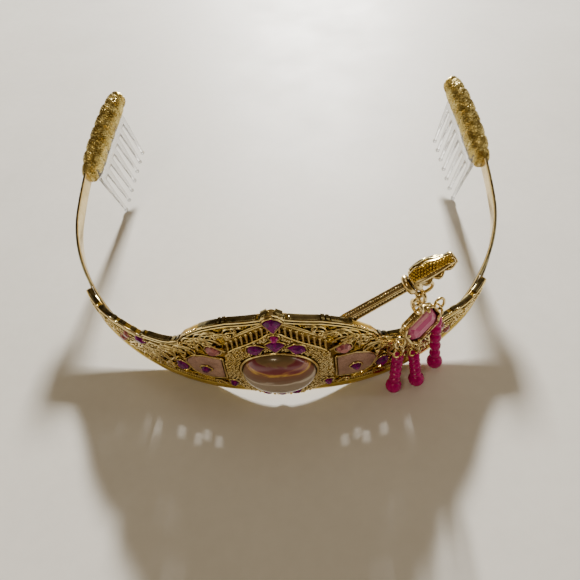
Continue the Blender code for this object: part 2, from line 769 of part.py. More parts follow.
def wing_gap_outlines():
    """Leaf gaps that fan out along the wing, two or three over each other in a column."""
    outlines = []
    start = WING_GAPS_START * CROWN_HALF_ARC
    columns = int((WING_GAPS_END * CROWN_HALF_ARC - start) / GAP_COLUMN_PITCH)
    for column in range(columns):
        s = start + GAP_COLUMN_PITCH * (column + 0.5)
        low = BORDER_HEIGHT + GAP_MARGIN
        high = top_edge_at(s) - EDGE_WIDTH - GAP_MARGIN
        rows = max(1, round((high - low) / GAP_ROW_HEIGHT))
        room = (high - low) / rows
        lean = GAP_FIRST_LEAN - GAP_LEAN_STEP * column
        for row in range(rows):
            centre = (s + GAP_ROW_SHIFT * (row - (rows - 1) / 2), low + room * (row + 0.5))
            length = min(room - GAP_MARGIN, GAP_LONGEST) / math.sin(lean)
            outlines.append(ellipse(centre, 0.94 * length, GAP_WIDTH, lean, GAP_SIDES))
    return outlines


def leaf_gap_outlines():
    outlines = []
    for s, v, length, width, slope in LEAF_GAPS:
        outlines.append(ellipse(crown_place((s, v)), length * CROWN_HEIGHT, width * CROWN_HEIGHT,
                                math.radians(slope), GAP_SIDES))
    return outlines


def scroll_meshes():
    """Raised curls of even width on the plate."""
    meshes = []
    steps = 5
    for s, v, radius, first, sweep in SCROLLS:
        x, y = crown_place((s, v))
        outer, inner = [], []
        for i in range(steps + 1):
            angle = math.radians(first + sweep * i / steps)
            reach = radius * CROWN_HEIGHT * (1.0 - 0.35 * i / steps)
            for line, from_middle in ((outer, SCROLL_WIDTH / 2), (inner, -SCROLL_WIDTH / 2)):
                line.append((x + (reach + from_middle) * math.cos(angle),
                             y + (reach + from_middle) * math.sin(angle)))
        outline = outer + list(reversed(inner))
        for shape in (outline, mirror_outline(outline)):
            meshes.append(prism([shape], PLATE_FRONT - SUNK, PLATE_FRONT + RIB_PROUD))
    return meshes


def gem_circle(radius):
    return ellipse((0.0, GEM_CENTRE_V), 2 * radius, 2 * radius, 0, GEM_SIDES)


def build_crown():
    plate = prism([plate_outline()], PLATE_BACK, PLATE_FRONT)
    shield = prism([shield_outline()], PLATE_FRONT - SUNK, SHIELD_FRONT)
    top_mount = prism([grown(top_stone_outline(), TOP_MOUNT_MARGIN)], PLATE_BACK + TIER_STEP, TOP_MOUNT_FRONT)
    solids = [rib_zone_mesh(), shield, border_mesh(), edge_meshes(), top_mount]
    body = combine(plate, solids, "UNION")
    cutters = []
    flute_floor = PLATE_BACK + FLUTE_FLOOR
    right_through = PLATE_BACK - PLATE_THICKNESS
    for outlines, depth in ((slot_outlines(), flute_floor), (wing_gap_outlines(), right_through),
                            (leaf_gap_outlines(), right_through)):
        for every_second in (outlines[0::2], outlines[1::2]):
            shapes = every_second + [mirror_outline(outline) for outline in every_second]
            cutters.append(joined([prism([shape], depth, CUT_ABOVE) for shape in shapes]))
    gem_seat = prism([gem_circle(BEZEL_INNER)], PLATE_FRONT - GEM_SEAT_DEPTH, CUT_ABOVE)
    body = combine(body, cutters + [gem_seat], "DIFFERENCE")
    bezel = prism([gem_circle(BEZEL_OUTER), gem_circle(BEZEL_INNER)], PLATE_FRONT - SUNK,
                  SHIELD_FRONT + COLLAR_PROUD)
    body = combine(body, [bezel] + scroll_meshes() + collar_meshes(), "UNION")
    finished("crown", bent(body), "gold", 30)


def build_gem():
    dome = ((0.0, 1.0), (0.28, 0.97), (0.55, 0.86), (0.78, 0.66), (0.93, 0.40), (1.0, 0.12), (1.0, 0.0),
            (0.0, 0.0))
    mesh = turned([(GEM_RADIUS * share, GEM_DOME * height) for share, height in dome], GEM_SIDES)
    mesh.transform(Matrix.Translation((0.0, GEM_CENTRE_V, PLATE_FRONT + CLEARANCE)))
    finished("main_cabochon", bent(mesh), "clear", 60)


def build_panels():
    seat = PLATE_FRONT + CLEARANCE
    for prefix, shape in (("left", mirror_outline(panel_outline())), ("right", panel_outline())):
        finished(prefix + "_panel", bent(prism([shape], seat, seat + PANEL_THICKNESS)), "mauve enamel")


# Headband, combs and wraps

def strip_mesh(first, last, low, high, inner, outer):
    outline = [(first, low), (last, low), (last, high), (first, high)]
    return bent(prism([outline], inner, outer))


def build_headband():
    end = BAND_HALF_LENGTH - BAND_END_INSET
    mesh = strip_mesh(-end, end, 0.0, STRIP_HEIGHT, -STRIP_THICKNESS, 0.0)
    finished("headband", mesh, "pale gold")


def comb_outline():
    """The right comb, seen square on: share along the back by depth, spine and teeth."""
    width = (TEETH - 1) * TOOTH_PITCH
    half_root = TOOTH_ROOT / 2
    half_tip = TOOTH_TIP / 2
    points = [(-half_root, -COMB_SPINE_TOP)]
    for i in range(TEETH):
        x = i * TOOTH_PITCH
        points += [
            (x - half_root, COMB_SPINE_BOTTOM),
            (x - half_root * 0.85, COMB_SPINE_BOTTOM + TOOTH_SHOULDER),
            (x - half_tip, COMB_REACH - TOOTH_POINT),
            (x - half_tip * 0.4, COMB_REACH),
            (x + half_tip * 0.4, COMB_REACH),
            (x + half_tip, COMB_REACH - TOOTH_POINT),
            (x + half_root * 0.85, COMB_SPINE_BOTTOM + TOOTH_SHOULDER),
            (x + half_root, COMB_SPINE_BOTTOM),
        ]
    points.append((width + half_root, -COMB_SPINE_TOP))
    return points


def comb_matrix():
    """From the flat comb, x along the back and y down, to its place on the right side."""
    origin = comb_point(0.0, 0.0)
    width = (TEETH - 1) * TOOTH_PITCH
    along = (comb_point(1.0, 0.0) - origin) / width
    down = (comb_point(0.0, COMB_REACH) - origin) / COMB_REACH
    across = along.cross(down)
    matrix = Matrix((along, down, across)).transposed().to_4x4()
    matrix.translation = origin
    return matrix


def build_combs():
    mesh = prism([comb_outline()], -COMB_THICKNESS / 2, COMB_THICKNESS / 2)
    mesh.transform(comb_matrix())
    finished("left_comb", mirrored(mesh), "clear")
    finished("right_comb", mesh, "clear")


def wrap_start():
    return float(np.interp(WRAP_FRONT_Y, PATH_Y, PATH_ARC))


def wrap_mesh():
    """The braid on the right: an oval tube along the band's end, swelling at each turn."""
    start = wrap_start()
    length = BAND_HALF_LENGTH + WRAP_PAST_END - start
    count = 4 * WRAP_TURNS
    front_neck, rear_neck = 0.62, 0.70
    rings = []
    for i in range(count + 1):
        share = i / count
        s = start + length * share
        inside = min(s, BAND_HALF_LENGTH)
        point, outward = on_band(inside)
        along = Vector((-outward.y, outward.x))
        centre = point - outward * (STRIP_THICKNESS / 2 + WRAP_INSET) + along * (s - inside)
        neck = front_neck if share < 0.5 else rear_neck
        swell = neck + (1.0 - neck) * min(min(share, 1.0 - share) / 0.10, 1.0) ** 0.5
        ripple = WRAP_BULGE * math.cos(2 * math.pi * WRAP_TURNS * share)
        ring = []
        for k in range(WRAP_SIDES):
            angle = 2 * math.pi * k / WRAP_SIDES
            out_by = (WRAP_RADIUS_OUT * swell - ripple) * math.cos(angle)
            up_by = (WRAP_RADIUS_UP * swell - ripple) * math.sin(angle)
            ring.append((centre.x + outward.x * out_by, centre.y + outward.y * out_by, up_by))
        rings.append(ring)
    return loft(rings)


def build_wraps():
    """The braids, each with a slot for the band's end and one for the comb's spine."""
    cut = CLEARANCE
    start = wrap_start() - WRAP_RADIUS_OUT
    end = BAND_HALF_LENGTH - BAND_END_INSET + cut
    band_pocket = strip_mesh(start, end, -cut, STRIP_HEIGHT + cut, -STRIP_THICKNESS - cut, cut)
    front = -TOOTH_ROOT / 2 - cut
    rear = (TEETH - 1) * TOOTH_PITCH + TOOTH_ROOT / 2 + cut
    below = WRAP_RADIUS_UP + COMB_SPINE_BOTTOM
    spine = [(front, -COMB_SPINE_TOP - cut), (rear, -COMB_SPINE_TOP - cut), (rear, below), (front, below)]
    spine_slot = prism([spine], -COMB_THICKNESS / 2 - cut, COMB_THICKNESS / 2 + cut)
    spine_slot.transform(comb_matrix())
    mesh = combine(wrap_mesh(), [band_pocket, spine_slot], "DIFFERENCE")
    finished("left_wrap", mirrored(mesh), "gold braid")
    finished("right_wrap", mesh, "gold braid")


# Side arm and pendant

def arm_matrix():
    """The arm's own frame: x along it, y up across it in the face, z out of the face."""
    along, up, out = face_axes(ARM_START_S)
    direction = along * math.cos(ARM_RISE) + up * math.sin(ARM_RISE)
    across = out.cross(direction)
    matrix = Matrix((direction, across, out)).transposed().to_4x4()
    matrix.translation = on_face(ARM_START_S, ARM_START_V, 0.0) - out * (ARM_THICKNESS / 2)
    return matrix


def ring_mesh(radius, wire, centre, axis, sides=14, wire_sides=6):
    """A round ring about an axis."""
    bpy.ops.mesh.primitive_torus_add(major_radius=radius, minor_radius=wire, major_segments=sides,
                                     minor_segments=wire_sides)
    obj = bpy.context.object
    mesh = obj.data
    bpy.data.objects.remove(obj)
    turn = Vector((0.0, 0.0, 1.0)).rotation_difference(Vector(axis)).to_matrix().to_4x4()
    mesh.transform(Matrix.Translation(centre) @ turn)
    return mesh


def head_mesh():
    """The arm's head: an open leaf, a curved shell with a scalloped lower edge."""
    stations, steps = 8, 10
    work = bmesh.new()
    grid = []
    for i in range(stations):
        share = i / (stations - 1)
        radius = HEAD_RADIUS * (0.75 + 0.45 * math.sin(math.pi * min(share + 0.15, 1.0)) - 0.1 * share)
        x = ARM_LENGTH + ARM_COLLAR_SPACING + HEAD_LENGTH * share
        scallop = 12 * math.cos(2 * math.pi * 3 * share)
        row = []
        for k in range(steps):
            angle = math.radians(-150 + scallop + (230 - scallop) * k / (steps - 1) + 60)
            row.append(work.verts.new((x, radius * math.sin(angle), -radius * math.cos(angle) * 0.8)))
        grid.append(row)
    for a, b in zip(grid, grid[1:]):
        for k in range(steps - 1):
            work.faces.new((a[k], b[k], b[k + 1], a[k + 1]))
    mesh = bpy.data.meshes.new("head")
    work.to_mesh(mesh)
    work.free()
    obj = bpy.data.objects.new("head", mesh)
    TOOLS.objects.link(obj)
    shell = obj.modifiers.new("wall", "SOLIDIFY")
    shell.thickness = HEAD_WALL
    shell.offset = 0.0
    result = evaluated_mesh(obj)
    bpy.data.objects.remove(obj)
    return result


def arm_eye_place():
    """The middle of the eye under the collar, in the arm's own frame."""
    return Vector((ARM_LENGTH + ARM_COLLAR_SPACING, -(ARM_COLLAR_RADIUS + BAIL_WIRE + ARM_EYE_RADIUS), 0.0))


def build_side_arm():
    half_start = ARM_WIDTH_START / 2
    half_end = ARM_WIDTH_END / 2
    reach = ARM_LENGTH + 2 * ARM_COLLAR_SPACING
    outline = [(-ARM_TAB, -half_start), (0.0, -half_start), (reach, -half_end),
               (reach, half_end), (0.0, half_start), (-ARM_TAB, half_start)]
    bar = prism([outline], -ARM_THICKNESS / 2, ARM_THICKNESS / 2)
    core = turned(((0.0, 1.5 * ARM_COLLAR_SPACING), (ARM_CORE_RADIUS, 1.5 * ARM_COLLAR_SPACING),
                   (ARM_CORE_RADIUS, -ARM_COLLAR_SPACING), (0.0, -ARM_COLLAR_SPACING)), DROP_SIDES)
    core.transform(Matrix.Translation((ARM_LENGTH + ARM_COLLAR_SPACING / 2, 0.0, 0.0))
                   @ Matrix.Rotation(math.pi / 2, 4, "Y"))
    collars = [ring_mesh(ARM_COLLAR_RADIUS, ARM_COLLAR_WIRE, (ARM_LENGTH + offset, 0.0, 0.0), (1.0, 0.0, 0.0))
               for offset in (0.0, ARM_COLLAR_SPACING)]
    eye = ring_mesh(ARM_EYE_RADIUS, BAIL_WIRE, arm_eye_place(), (0.0, 0.0, 1.0))
    mesh = combine(bar, [core] + collars + [head_mesh(), eye], "UNION")
    mesh.transform(arm_matrix())
    finished("side_arm", mesh, "pale gold")


def pendant_axes():
    """The pendant's directions: along its long side, down across it, and out."""
    _, outward = on_band(PENDANT_S)
    level_out = Vector((outward.x, outward.y, 0.0))
    up = -DOWN
    level_out = (level_out - up * level_out.dot(up)).normalized()
    out = level_out * math.cos(PENDANT_FACING_UP) + up * math.sin(PENDANT_FACING_UP)
    level = up.cross(out).normalized()
    rise = out.cross(level)
    along = level * math.cos(PENDANT_ROLL) + rise * math.sin(PENDANT_ROLL)
    return along, out.cross(along), out


def pendant_matrix():
    along, across, out = pendant_axes()
    matrix = Matrix((along, across, out)).transposed().to_4x4()
    matrix.translation = on_face(PENDANT_S, PENDANT_V, PENDANT_OUT)
    return matrix


def octagon(length, width, corner):
    a, b = length / 2, width / 2
    return [(-a + corner, -b), (a - corner, -b), (a, -b + corner), (a, b - corner),
            (a - corner, b), (-a + corner, b), (-a, b - corner), (-a, -b + corner)]


def setting_half_size():
    margin = CLEARANCE + PENDANT_WALL
    return PENDANT_STONE_LENGTH / 2 + margin, PENDANT_STONE_WIDTH / 2 + margin


def pendant_eye_places():
    """Eyes for the drops on the setting's lower edge and ends, in its own frame."""
    half_length, half_width = setting_half_size()
    reach = 0.75 * RING_RADIUS
    level = -0.2 * PENDANT_DEPTH
    return {
        "first": Vector((-half_length - 1.5 * reach, -0.10 * half_width, level)),
        "second": Vector((-0.70 * half_length, -half_width - reach, level)),
        "third": Vector((half_length + 1.5 * reach, -0.20 * half_width, level)),
    }


def top_eye_place():
    """The middle of the eye on the setting's upper edge, in the pendant's own frame."""
    half_length, half_width = setting_half_size()
    return Vector((0.35 * half_length, half_width + 0.9 * TOP_EYE_RADIUS, 0.0))


def build_pendant():
    shape = octagon(PENDANT_STONE_LENGTH, PENDANT_STONE_WIDTH, PENDANT_CORNER)
    back = -PENDANT_DEPTH / 2
    block = prism([grown(shape, CLEARANCE + PENDANT_WALL)], back, PENDANT_DEPTH / 2)
    eyes = [ring_mesh(RING_RADIUS, EYE_WIRE, place, (0.0, 0.0, 1.0), DROP_SIDES, 6)
            for place in pendant_eye_places().values()]
    level = (math.cos(PENDANT_ROLL), -math.sin(PENDANT_ROLL), 0.0)
    eyes.append(ring_mesh(TOP_EYE_RADIUS, BAIL_WIRE, top_eye_place(), level, DROP_SIDES, 6))
    solid = combine(block, eyes, "UNION")
    pocket = prism([grown(shape, CLEARANCE)], back + PENDANT_FLOOR, PENDANT_DEPTH)
    setting = combine(solid, [pocket], "DIFFERENCE")
    setting.transform(pendant_matrix())
    finished("pendant_setting", setting, "gold")
    seat = back + PENDANT_FLOOR + CLEARANCE
    middle = [(x * 0.86, y * 0.82) for x, y in shape]
    table = [(x * 0.62, y * 0.50) for x, y in shape]
    stone = loft((
        [(x, y, seat) for x, y in shape],
        [(x, y, seat + 0.4 * PENDANT_STONE_HEIGHT) for x, y in shape],
        [(x, y, seat + 0.7 * PENDANT_STONE_HEIGHT) for x, y in middle],
        [(x, y, seat + PENDANT_STONE_HEIGHT) for x, y in table],
    ))
    stone.transform(pendant_matrix())
    finished("pendant_stone", stone, "pink", 15)


def build_bail():
    """Two large rings that hang the pendant's top eye from the arm's eye, sized to span the way."""
    start = arm_matrix() @ arm_eye_place()
    end = pendant_matrix() @ top_eye_place()
    way = end - start
    direction = way.normalized()
    out = pendant_axes()[2]
    overlap = 2 * BAIL_WIRE + CLEARANCE
    radius = (way.length - ARM_EYE_RADIUS - TOP_EYE_RADIUS + 3 * overlap) / 4
    upper = start + direction * (ARM_EYE_RADIUS + radius - overlap)
    lower = upper + direction * (2 * radius - overlap)
    sideways = direction.cross(out).normalized()
    facing = sideways.cross(direction)
    finished("upper_bail_ring", ring_mesh(radius, BAIL_WIRE, upper, sideways), "pale gold")
    finished("lower_bail_ring", ring_mesh(radius, BAIL_WIRE, lower, facing), "pale gold")


def drop_profile(length):
    """Radius and height down one drop: rondelles with narrow necks, then the round bead."""
    beads = length - 2 * DROP_BEAD_RADIUS
    pitch = beads / RONDELLES_PER_DROP
    neck = 0.6 * RONDELLE_RADIUS
    profile = [(0.0, 0.0), (DROP_TIP_RADIUS, 0.0)]
    for i in range(RONDELLES_PER_DROP):
        top = i * pitch
        profile += [(neck, -top - 0.10 * pitch), (RONDELLE_RADIUS, -top - 0.32 * pitch),
                    (RONDELLE_RADIUS, -top - 0.68 * pitch)]
    for k in range(1, 8):
        angle = math.pi * k / 8
        profile.append((DROP_BEAD_RADIUS * math.sin(angle),
                        -beads - DROP_BEAD_RADIUS * (1.0 - math.cos(angle))))
    profile += [(DROP_TIP_RADIUS, -length), (0.0, -length)]
    return profile


def drop_mesh(top, foot):
    """A turned solid from its top to its foot."""
    mesh = turned(drop_profile((foot - top).length), DROP_SIDES)
    turn = Vector((0.0, 0.0, 1.0)).rotation_difference(top - foot).to_matrix().to_4x4()
    mesh.transform(Matrix.Translation(top) @ turn)
    return mesh


def build_drops():
    """Each drop hangs by its own jump ring, down to just over the table."""
    leans = {"first": 0.0, "second": SECOND_DROP_LEAN, "third": THIRD_DROP_LEAN}
    out = pendant_axes()[2]
    for name, place in pendant_eye_places().items():
        eye = pendant_matrix() @ place
        link_gap = 2 * RING_RADIUS - RING_WIRE - EYE_WIRE - CLEARANCE
        ring_centre = eye + DOWN * link_gap
        ring = ring_mesh(RING_RADIUS, RING_WIRE, ring_centre, DOWN.cross(out), DROP_SIDES, 6)
        finished(name + "_jump_ring", ring, "pale gold")
        loop_centre = ring_centre + DOWN * link_gap
        top = loop_centre + DOWN * (RING_RADIUS - RING_WIRE)
        foot = top + DOWN * (height_over_table(top) - CLEARANCE) + Vector((leans[name], 0.0, 0.0))
        loop = ring_mesh(RING_RADIUS, RING_WIRE, loop_centre, out, DROP_SIDES, 6)
        finished(name + "_bead_drop", combine(drop_mesh(top, foot), [loop], "UNION"), "magenta", 50)


def rest_on_table():
    """Tips the whole crown as it rests, with its box's foot centred on the origin."""
    root = bpy.data.objects.new("tiara_at_rest", None)
    PARTS.objects.link(root)
    root.rotation_euler = (TILT, 0.0, 0.0)
    for obj in PARTS.objects:
        if obj.type == "MESH":
            obj.parent = root
    bpy.context.view_layer.update()
    points = [obj.matrix_world @ vert.co for obj in PARTS.objects if obj.type == "MESH"
              for vert in obj.data.vertices]
    low = [min(p[i] for p in points) for i in range(3)]
    high = [max(p[i] for p in points) for i in range(3)]
    root.location = (-(low[0] + high[0]) / 2, -(low[1] + high[1]) / 2, -low[2])
    bpy.context.view_layer.update()


def build_all():
    build_crown()
    build_gem()
    build_panels()
    build_stones()
    build_headband()
    build_combs()
    build_wraps()
    build_side_arm()
    build_pendant()
    build_bail()
    build_drops()
    rest_on_table()


build_all()
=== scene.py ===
# The looks of a costume crown: pierced and granulated gold, wire scrolls, cut stones, a glass dome,
# braid-wrapped ends, clear combs and a side pendant with bead drops.
# Sizes are metres. Places on the crown's face are given by s, the arc along the front from the
# middle, v, the height over the rim's lower edge, and a distance out of the band.

import math
import random

import bmesh
import bpy
import numpy as np
from mathutils import Matrix, Vector


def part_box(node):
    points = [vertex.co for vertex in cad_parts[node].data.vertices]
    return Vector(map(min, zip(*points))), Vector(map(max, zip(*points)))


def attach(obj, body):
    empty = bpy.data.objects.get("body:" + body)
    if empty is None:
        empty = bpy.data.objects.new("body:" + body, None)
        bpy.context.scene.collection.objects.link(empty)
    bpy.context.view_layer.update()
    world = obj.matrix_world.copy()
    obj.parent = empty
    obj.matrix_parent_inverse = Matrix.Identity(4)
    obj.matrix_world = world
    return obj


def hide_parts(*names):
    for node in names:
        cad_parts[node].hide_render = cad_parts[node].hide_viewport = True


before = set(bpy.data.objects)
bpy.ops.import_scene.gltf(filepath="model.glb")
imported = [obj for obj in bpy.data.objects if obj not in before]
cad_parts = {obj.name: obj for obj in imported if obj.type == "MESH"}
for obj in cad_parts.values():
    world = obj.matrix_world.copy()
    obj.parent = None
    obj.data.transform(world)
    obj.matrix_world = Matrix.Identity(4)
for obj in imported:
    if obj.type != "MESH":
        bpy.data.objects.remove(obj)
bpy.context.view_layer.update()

# Headband
BAND_HALF_WIDTH = 0.0735
BAND_FRONT_DEPTH = 0.062
BAND_REAR_REACH = 0.118
BAND_WIDEST_Y = 0.066
BAND_REAR_END_Y = 0.119
STRIP_HEIGHT = 0.0055
STRIP_THICKNESS = 0.0009
RIM_BELOW_CENTRE = 0.0025
FACE_LEAN = math.radians(12)
ARCH_RISE = 0.005
ARCH_HALF_LENGTH = 0.040
CLEARANCE = 0.0003
BAND_END_INSET = 0.0008

# Crown casting
CROWN_HALF_ARC = 0.078
CROWN_HEIGHT = 0.0465
PLATE_THICKNESS = 0.0015
EDGE_WIDTH = 0.0017
EDGE_OVERHANG = 0.0002
EDGE_PROUD = 0.0003
SHIELD_PROUD = 0.0010
RIB_PROUD = 0.0006
COLLAR_WALL = 0.0005
SUNK = 0.00075
TOP_MOUNT_PROUD = 0.0008
TOP_MOUNT_MARGIN = 0.0009
RIB_MARGIN = 0.0006
MIDDLE_RIB_HALF_WIDTH = 0.0016
SLOTS_PER_SIDE = 8
SLOT_WIDTH = 0.0007
SLOT_END_MARGIN = 0.0004
BORDER_HEIGHT = 0.0040
GAP_COLUMN_PITCH = 0.0044
GAP_ROW_HEIGHT = 0.0070
GAP_WIDTH = 0.0021
GAP_LONGEST = 0.0085
GAP_MARGIN = 0.0006
GAP_ROW_SHIFT = 0.0006
GAP_FIRST_LEAN = math.radians(78)
GAP_LEAN_STEP = math.radians(3)
GAP_SIDES = 6

# Stones
GEM_RADIUS = 0.0105
GEM_DOME = 0.0060
GEM_CENTRE_V = 0.0174
STONE_HEIGHT = 0.0011
STONE_GIRDLE = 0.0004
STONE_TABLE = 0.52
STONE_SIDES = 10
GEM_SIDES = 28
TOP_KITE_LENGTH = 0.0066
KITE_LENGTH = 0.0054
KITE_WIDTH = 0.0048
RHOMB_LENGTH = 0.0052
RHOMB_WIDTH = 0.0044
RHOMB_ANGLE = math.radians(23.7)
SMALL_ROUND_RADIUS = 0.0011
FOOT_STONE_LENGTH = 0.0036
FOOT_STONE_WIDTH = 0.0022
FOOT_STONE_ANGLE = math.radians(17)
SIDE_STONE_LENGTH = 0.0026
SIDE_STONE_WIDTH = 0.0018
PANEL_STONE_LENGTH = 0.0030
PANEL_STONE_WIDTH = 0.0026
MARQUISE_LENGTH = 0.0050
MARQUISE_WIDTH = 0.0042
MARQUISE_GAP = 0.0002
WING_MARQUISE_WIDTH = 0.0029
PINK_RADIUS = 0.0023
WING_PINK_RADIUS = 0.0015
PANEL_WIDTH = 0.0118
PANEL_HEIGHT = 0.0129
PANEL_THICKNESS = 0.0004
PANEL_FROM_SHIELD = 0.0014
PANEL_BELOW_GEM = 0.0090

# Side arm
ARM_START_S = 0.0222
ARM_START_V = 0.0366
ARM_RISE = math.radians(27.9)
ARM_LENGTH = 0.0180
ARM_WIDTH_START = 0.0032
ARM_WIDTH_END = 0.0024
ARM_THICKNESS = 0.0018
ARM_TAB = 0.0050
ARM_COLLAR_RADIUS = 0.0019
ARM_COLLAR_WIRE = 0.0011
ARM_COLLAR_SPACING = 0.0021
ARM_CORE_RADIUS = 0.0016
HEAD_LENGTH = 0.0108
HEAD_RADIUS = 0.0033
HEAD_WALL = 0.0009

# Pendant
PENDANT_S = 0.0423
PENDANT_V = 0.0288
PENDANT_OUT = 0.0045
PENDANT_FACING_UP = math.radians(14)
PENDANT_ROLL = math.radians(26)
PENDANT_STONE_LENGTH = 0.0100
PENDANT_STONE_WIDTH = 0.0060
PENDANT_STONE_HEIGHT = 0.0022
PENDANT_WALL = 0.0006
PENDANT_DEPTH = 0.0026
PENDANT_FLOOR = 0.0007
PENDANT_CORNER = 0.0014
RING_RADIUS = 0.0017
RING_WIRE = 0.00035
EYE_WIRE = 0.00042
ARM_EYE_RADIUS = 0.0026
TOP_EYE_RADIUS = 0.0022
BAIL_WIRE = 0.0005
DROP_BEAD_RADIUS = 0.0025
RONDELLE_RADIUS = 0.0017
RONDELLES_PER_DROP = 5
DROP_TIP_RADIUS = 0.0005
SECOND_DROP_LEAN = 0.0026
THIRD_DROP_LEAN = 0.0026

# Combs and wraps
COMB_REACH = 0.0298
COMB_THICKNESS = 0.0016
COMB_SPINE_TOP = 0.0015
COMB_SPINE_BOTTOM = 0.0070
COMB_INSIDE_BAND = 0.0040
COMB_BEHIND_WIDEST = 0.0200
COMB_FRONT_X = BAND_HALF_WIDTH - COMB_INSIDE_BAND
COMB_FRONT_Y = BAND_WIDEST_Y + COMB_BEHIND_WIDEST
COMB_TURN = math.radians(9.4)
COMB_LEAN = math.radians(3.8)
TEETH = 7
TOOTH_PITCH = 0.0047
TOOTH_ROOT = 0.0024
TOOTH_TIP = 0.0012
TOOTH_POINT = 0.0009
TOOTH_SHOULDER = 0.006
WRAP_FRONT_Y = 0.0835
WRAP_RADIUS_OUT = 0.0036
WRAP_RADIUS_UP = 0.0044
WRAP_INSET = 0.0004
WRAP_PAST_END = 0.0012
WRAP_TURNS = 7
WRAP_BULGE = 0.0004

# Places that follow the sizes above
PLATE_BACK = CLEARANCE
PLATE_FRONT = PLATE_BACK + PLATE_THICKNESS
SHIELD_FRONT = PLATE_FRONT + SHIELD_PROUD
EDGE_FRONT = PLATE_FRONT + EDGE_PROUD
TOP_MOUNT_FRONT = PLATE_FRONT + TOP_MOUNT_PROUD
BEZEL_INNER = GEM_RADIUS + CLEARANCE
BEZEL_OUTER = BEZEL_INNER + COLLAR_WALL

# The upper outline of the right half: shares of the half arc and of the height.
TOP_EDGE = (
    (0.000, 1.000), (0.033, 0.996), (0.038, 0.968), (0.085, 0.948), (0.137, 0.931), (0.171, 0.920),
    (0.194, 0.903), (0.228, 0.877), (0.267, 0.839), (0.310, 0.781), (0.359, 0.692), (0.395, 0.581),
    (0.433, 0.529), (0.472, 0.492), (0.503, 0.471), (0.558, 0.434), (0.574, 0.422), (0.585, 0.370),
    (0.641, 0.348), (0.705, 0.314), (0.769, 0.256), (0.833, 0.189), (0.897, 0.133), (0.962, 0.099),
    (1.000, 0.090), (0.997, 0.056),
)

# Shares of the half arc and of the height
WING_FOOT = 0.97
BORDER_REACH = 0.93
WING_GAPS_START = 0.475
WING_GAPS_END = 0.80
PINK_PLACE = (0.246, 0.560)
WING_MARQUISE_PLACE = (0.592, 0.325)
WING_UPPER_PINK_PLACE = (0.672, 0.250)
WING_LOWER_PINK_PLACE = (0.705, 0.135)
TOP_STONE_SHARE = 0.925
RIB_SPRING_SHARE = 0.12

# The shield round the gem, right half from the top: distances from the gem's middle,
# as shares of the bezel's outer radius.
SHIELD_EDGE = (
    (0.000, 1.900), (0.100, 1.900), (0.290, 1.700), (0.640, 1.400), (1.060, 1.080), (1.340, 0.760),
    (1.400, 0.200), (1.400, -0.500), (1.250, -0.950), (0.900, -1.280), (0.480, -1.540), (0.000, -1.600),
)

# The enamel panel: shares of its width, away from the middle, and of its height.
PANEL_EDGE = (
    (0.00, 0.06), (0.30, 0.00), (0.62, 0.02), (0.84, 0.16), (1.00, 0.50), (0.96, 0.66),
    (0.78, 0.86), (0.45, 1.00), (0.00, 0.96),
)

# Leaf-shaped gaps near the middle, right half: shares of the half arc and of the height for the
# centre, then the length and width as shares of the height, then the slope in degrees.
LEAF_GAPS = (
    (0.215, 0.806, 0.085, 0.030, -34), (0.265, 0.761, 0.085, 0.030, -50), (0.205, 0.735, 0.075, 0.028, -30),
    (0.300, 0.681, 0.085, 0.030, -62), (0.205, 0.681, 0.064, 0.028, 20), (0.262, 0.639, 0.064, 0.028, 40),
    (0.330, 0.596, 0.075, 0.028, -70), (0.310, 0.516, 0.075, 0.028, 20), (0.350, 0.447, 0.075, 0.028, 60),
    (0.375, 0.341, 0.075, 0.028, 90), (0.425, 0.351, 0.085, 0.030, 70), (0.325, 0.149, 0.064, 0.023, 20),
    (0.290, 0.128, 0.064, 0.023, 0), (0.240, 0.128, 0.064, 0.023, 0), (0.395, 0.149, 0.064, 0.026, 0),
    (0.430, 0.245, 0.075, 0.028, 80), (0.405, 0.452, 0.085, 0.030, 70),
)


# From the flat layout to the world

def band_path():
    """Samples of the band's outer line: arc length, x and y."""
    front = np.linspace(0.0, math.pi / 2, 900)
    reach = math.asin(min(0.98, (BAND_REAR_END_Y - BAND_WIDEST_Y) / BAND_REAR_REACH))
    rear = np.linspace(0.0, reach, 500)[1:]
    x = BAND_HALF_WIDTH * np.concatenate([np.sin(front), np.cos(rear)])
    y = np.concatenate([
        BAND_WIDEST_Y - BAND_FRONT_DEPTH * np.cos(front),
        BAND_WIDEST_Y + BAND_REAR_REACH * np.sin(rear),
    ])
    steps = np.hypot(np.diff(x), np.diff(y))
    arc = np.concatenate([[0.0], np.cumsum(steps)])
    return arc, x, y


PATH_ARC, PATH_X, PATH_Y = band_path()
BAND_HALF_LENGTH = float(PATH_ARC[-1])
TANGENT_X = np.gradient(PATH_X, PATH_ARC)
TANGENT_Y = np.gradient(PATH_Y, PATH_ARC)
WIDEST_ARC = float(np.interp(BAND_WIDEST_Y, PATH_Y, PATH_ARC))


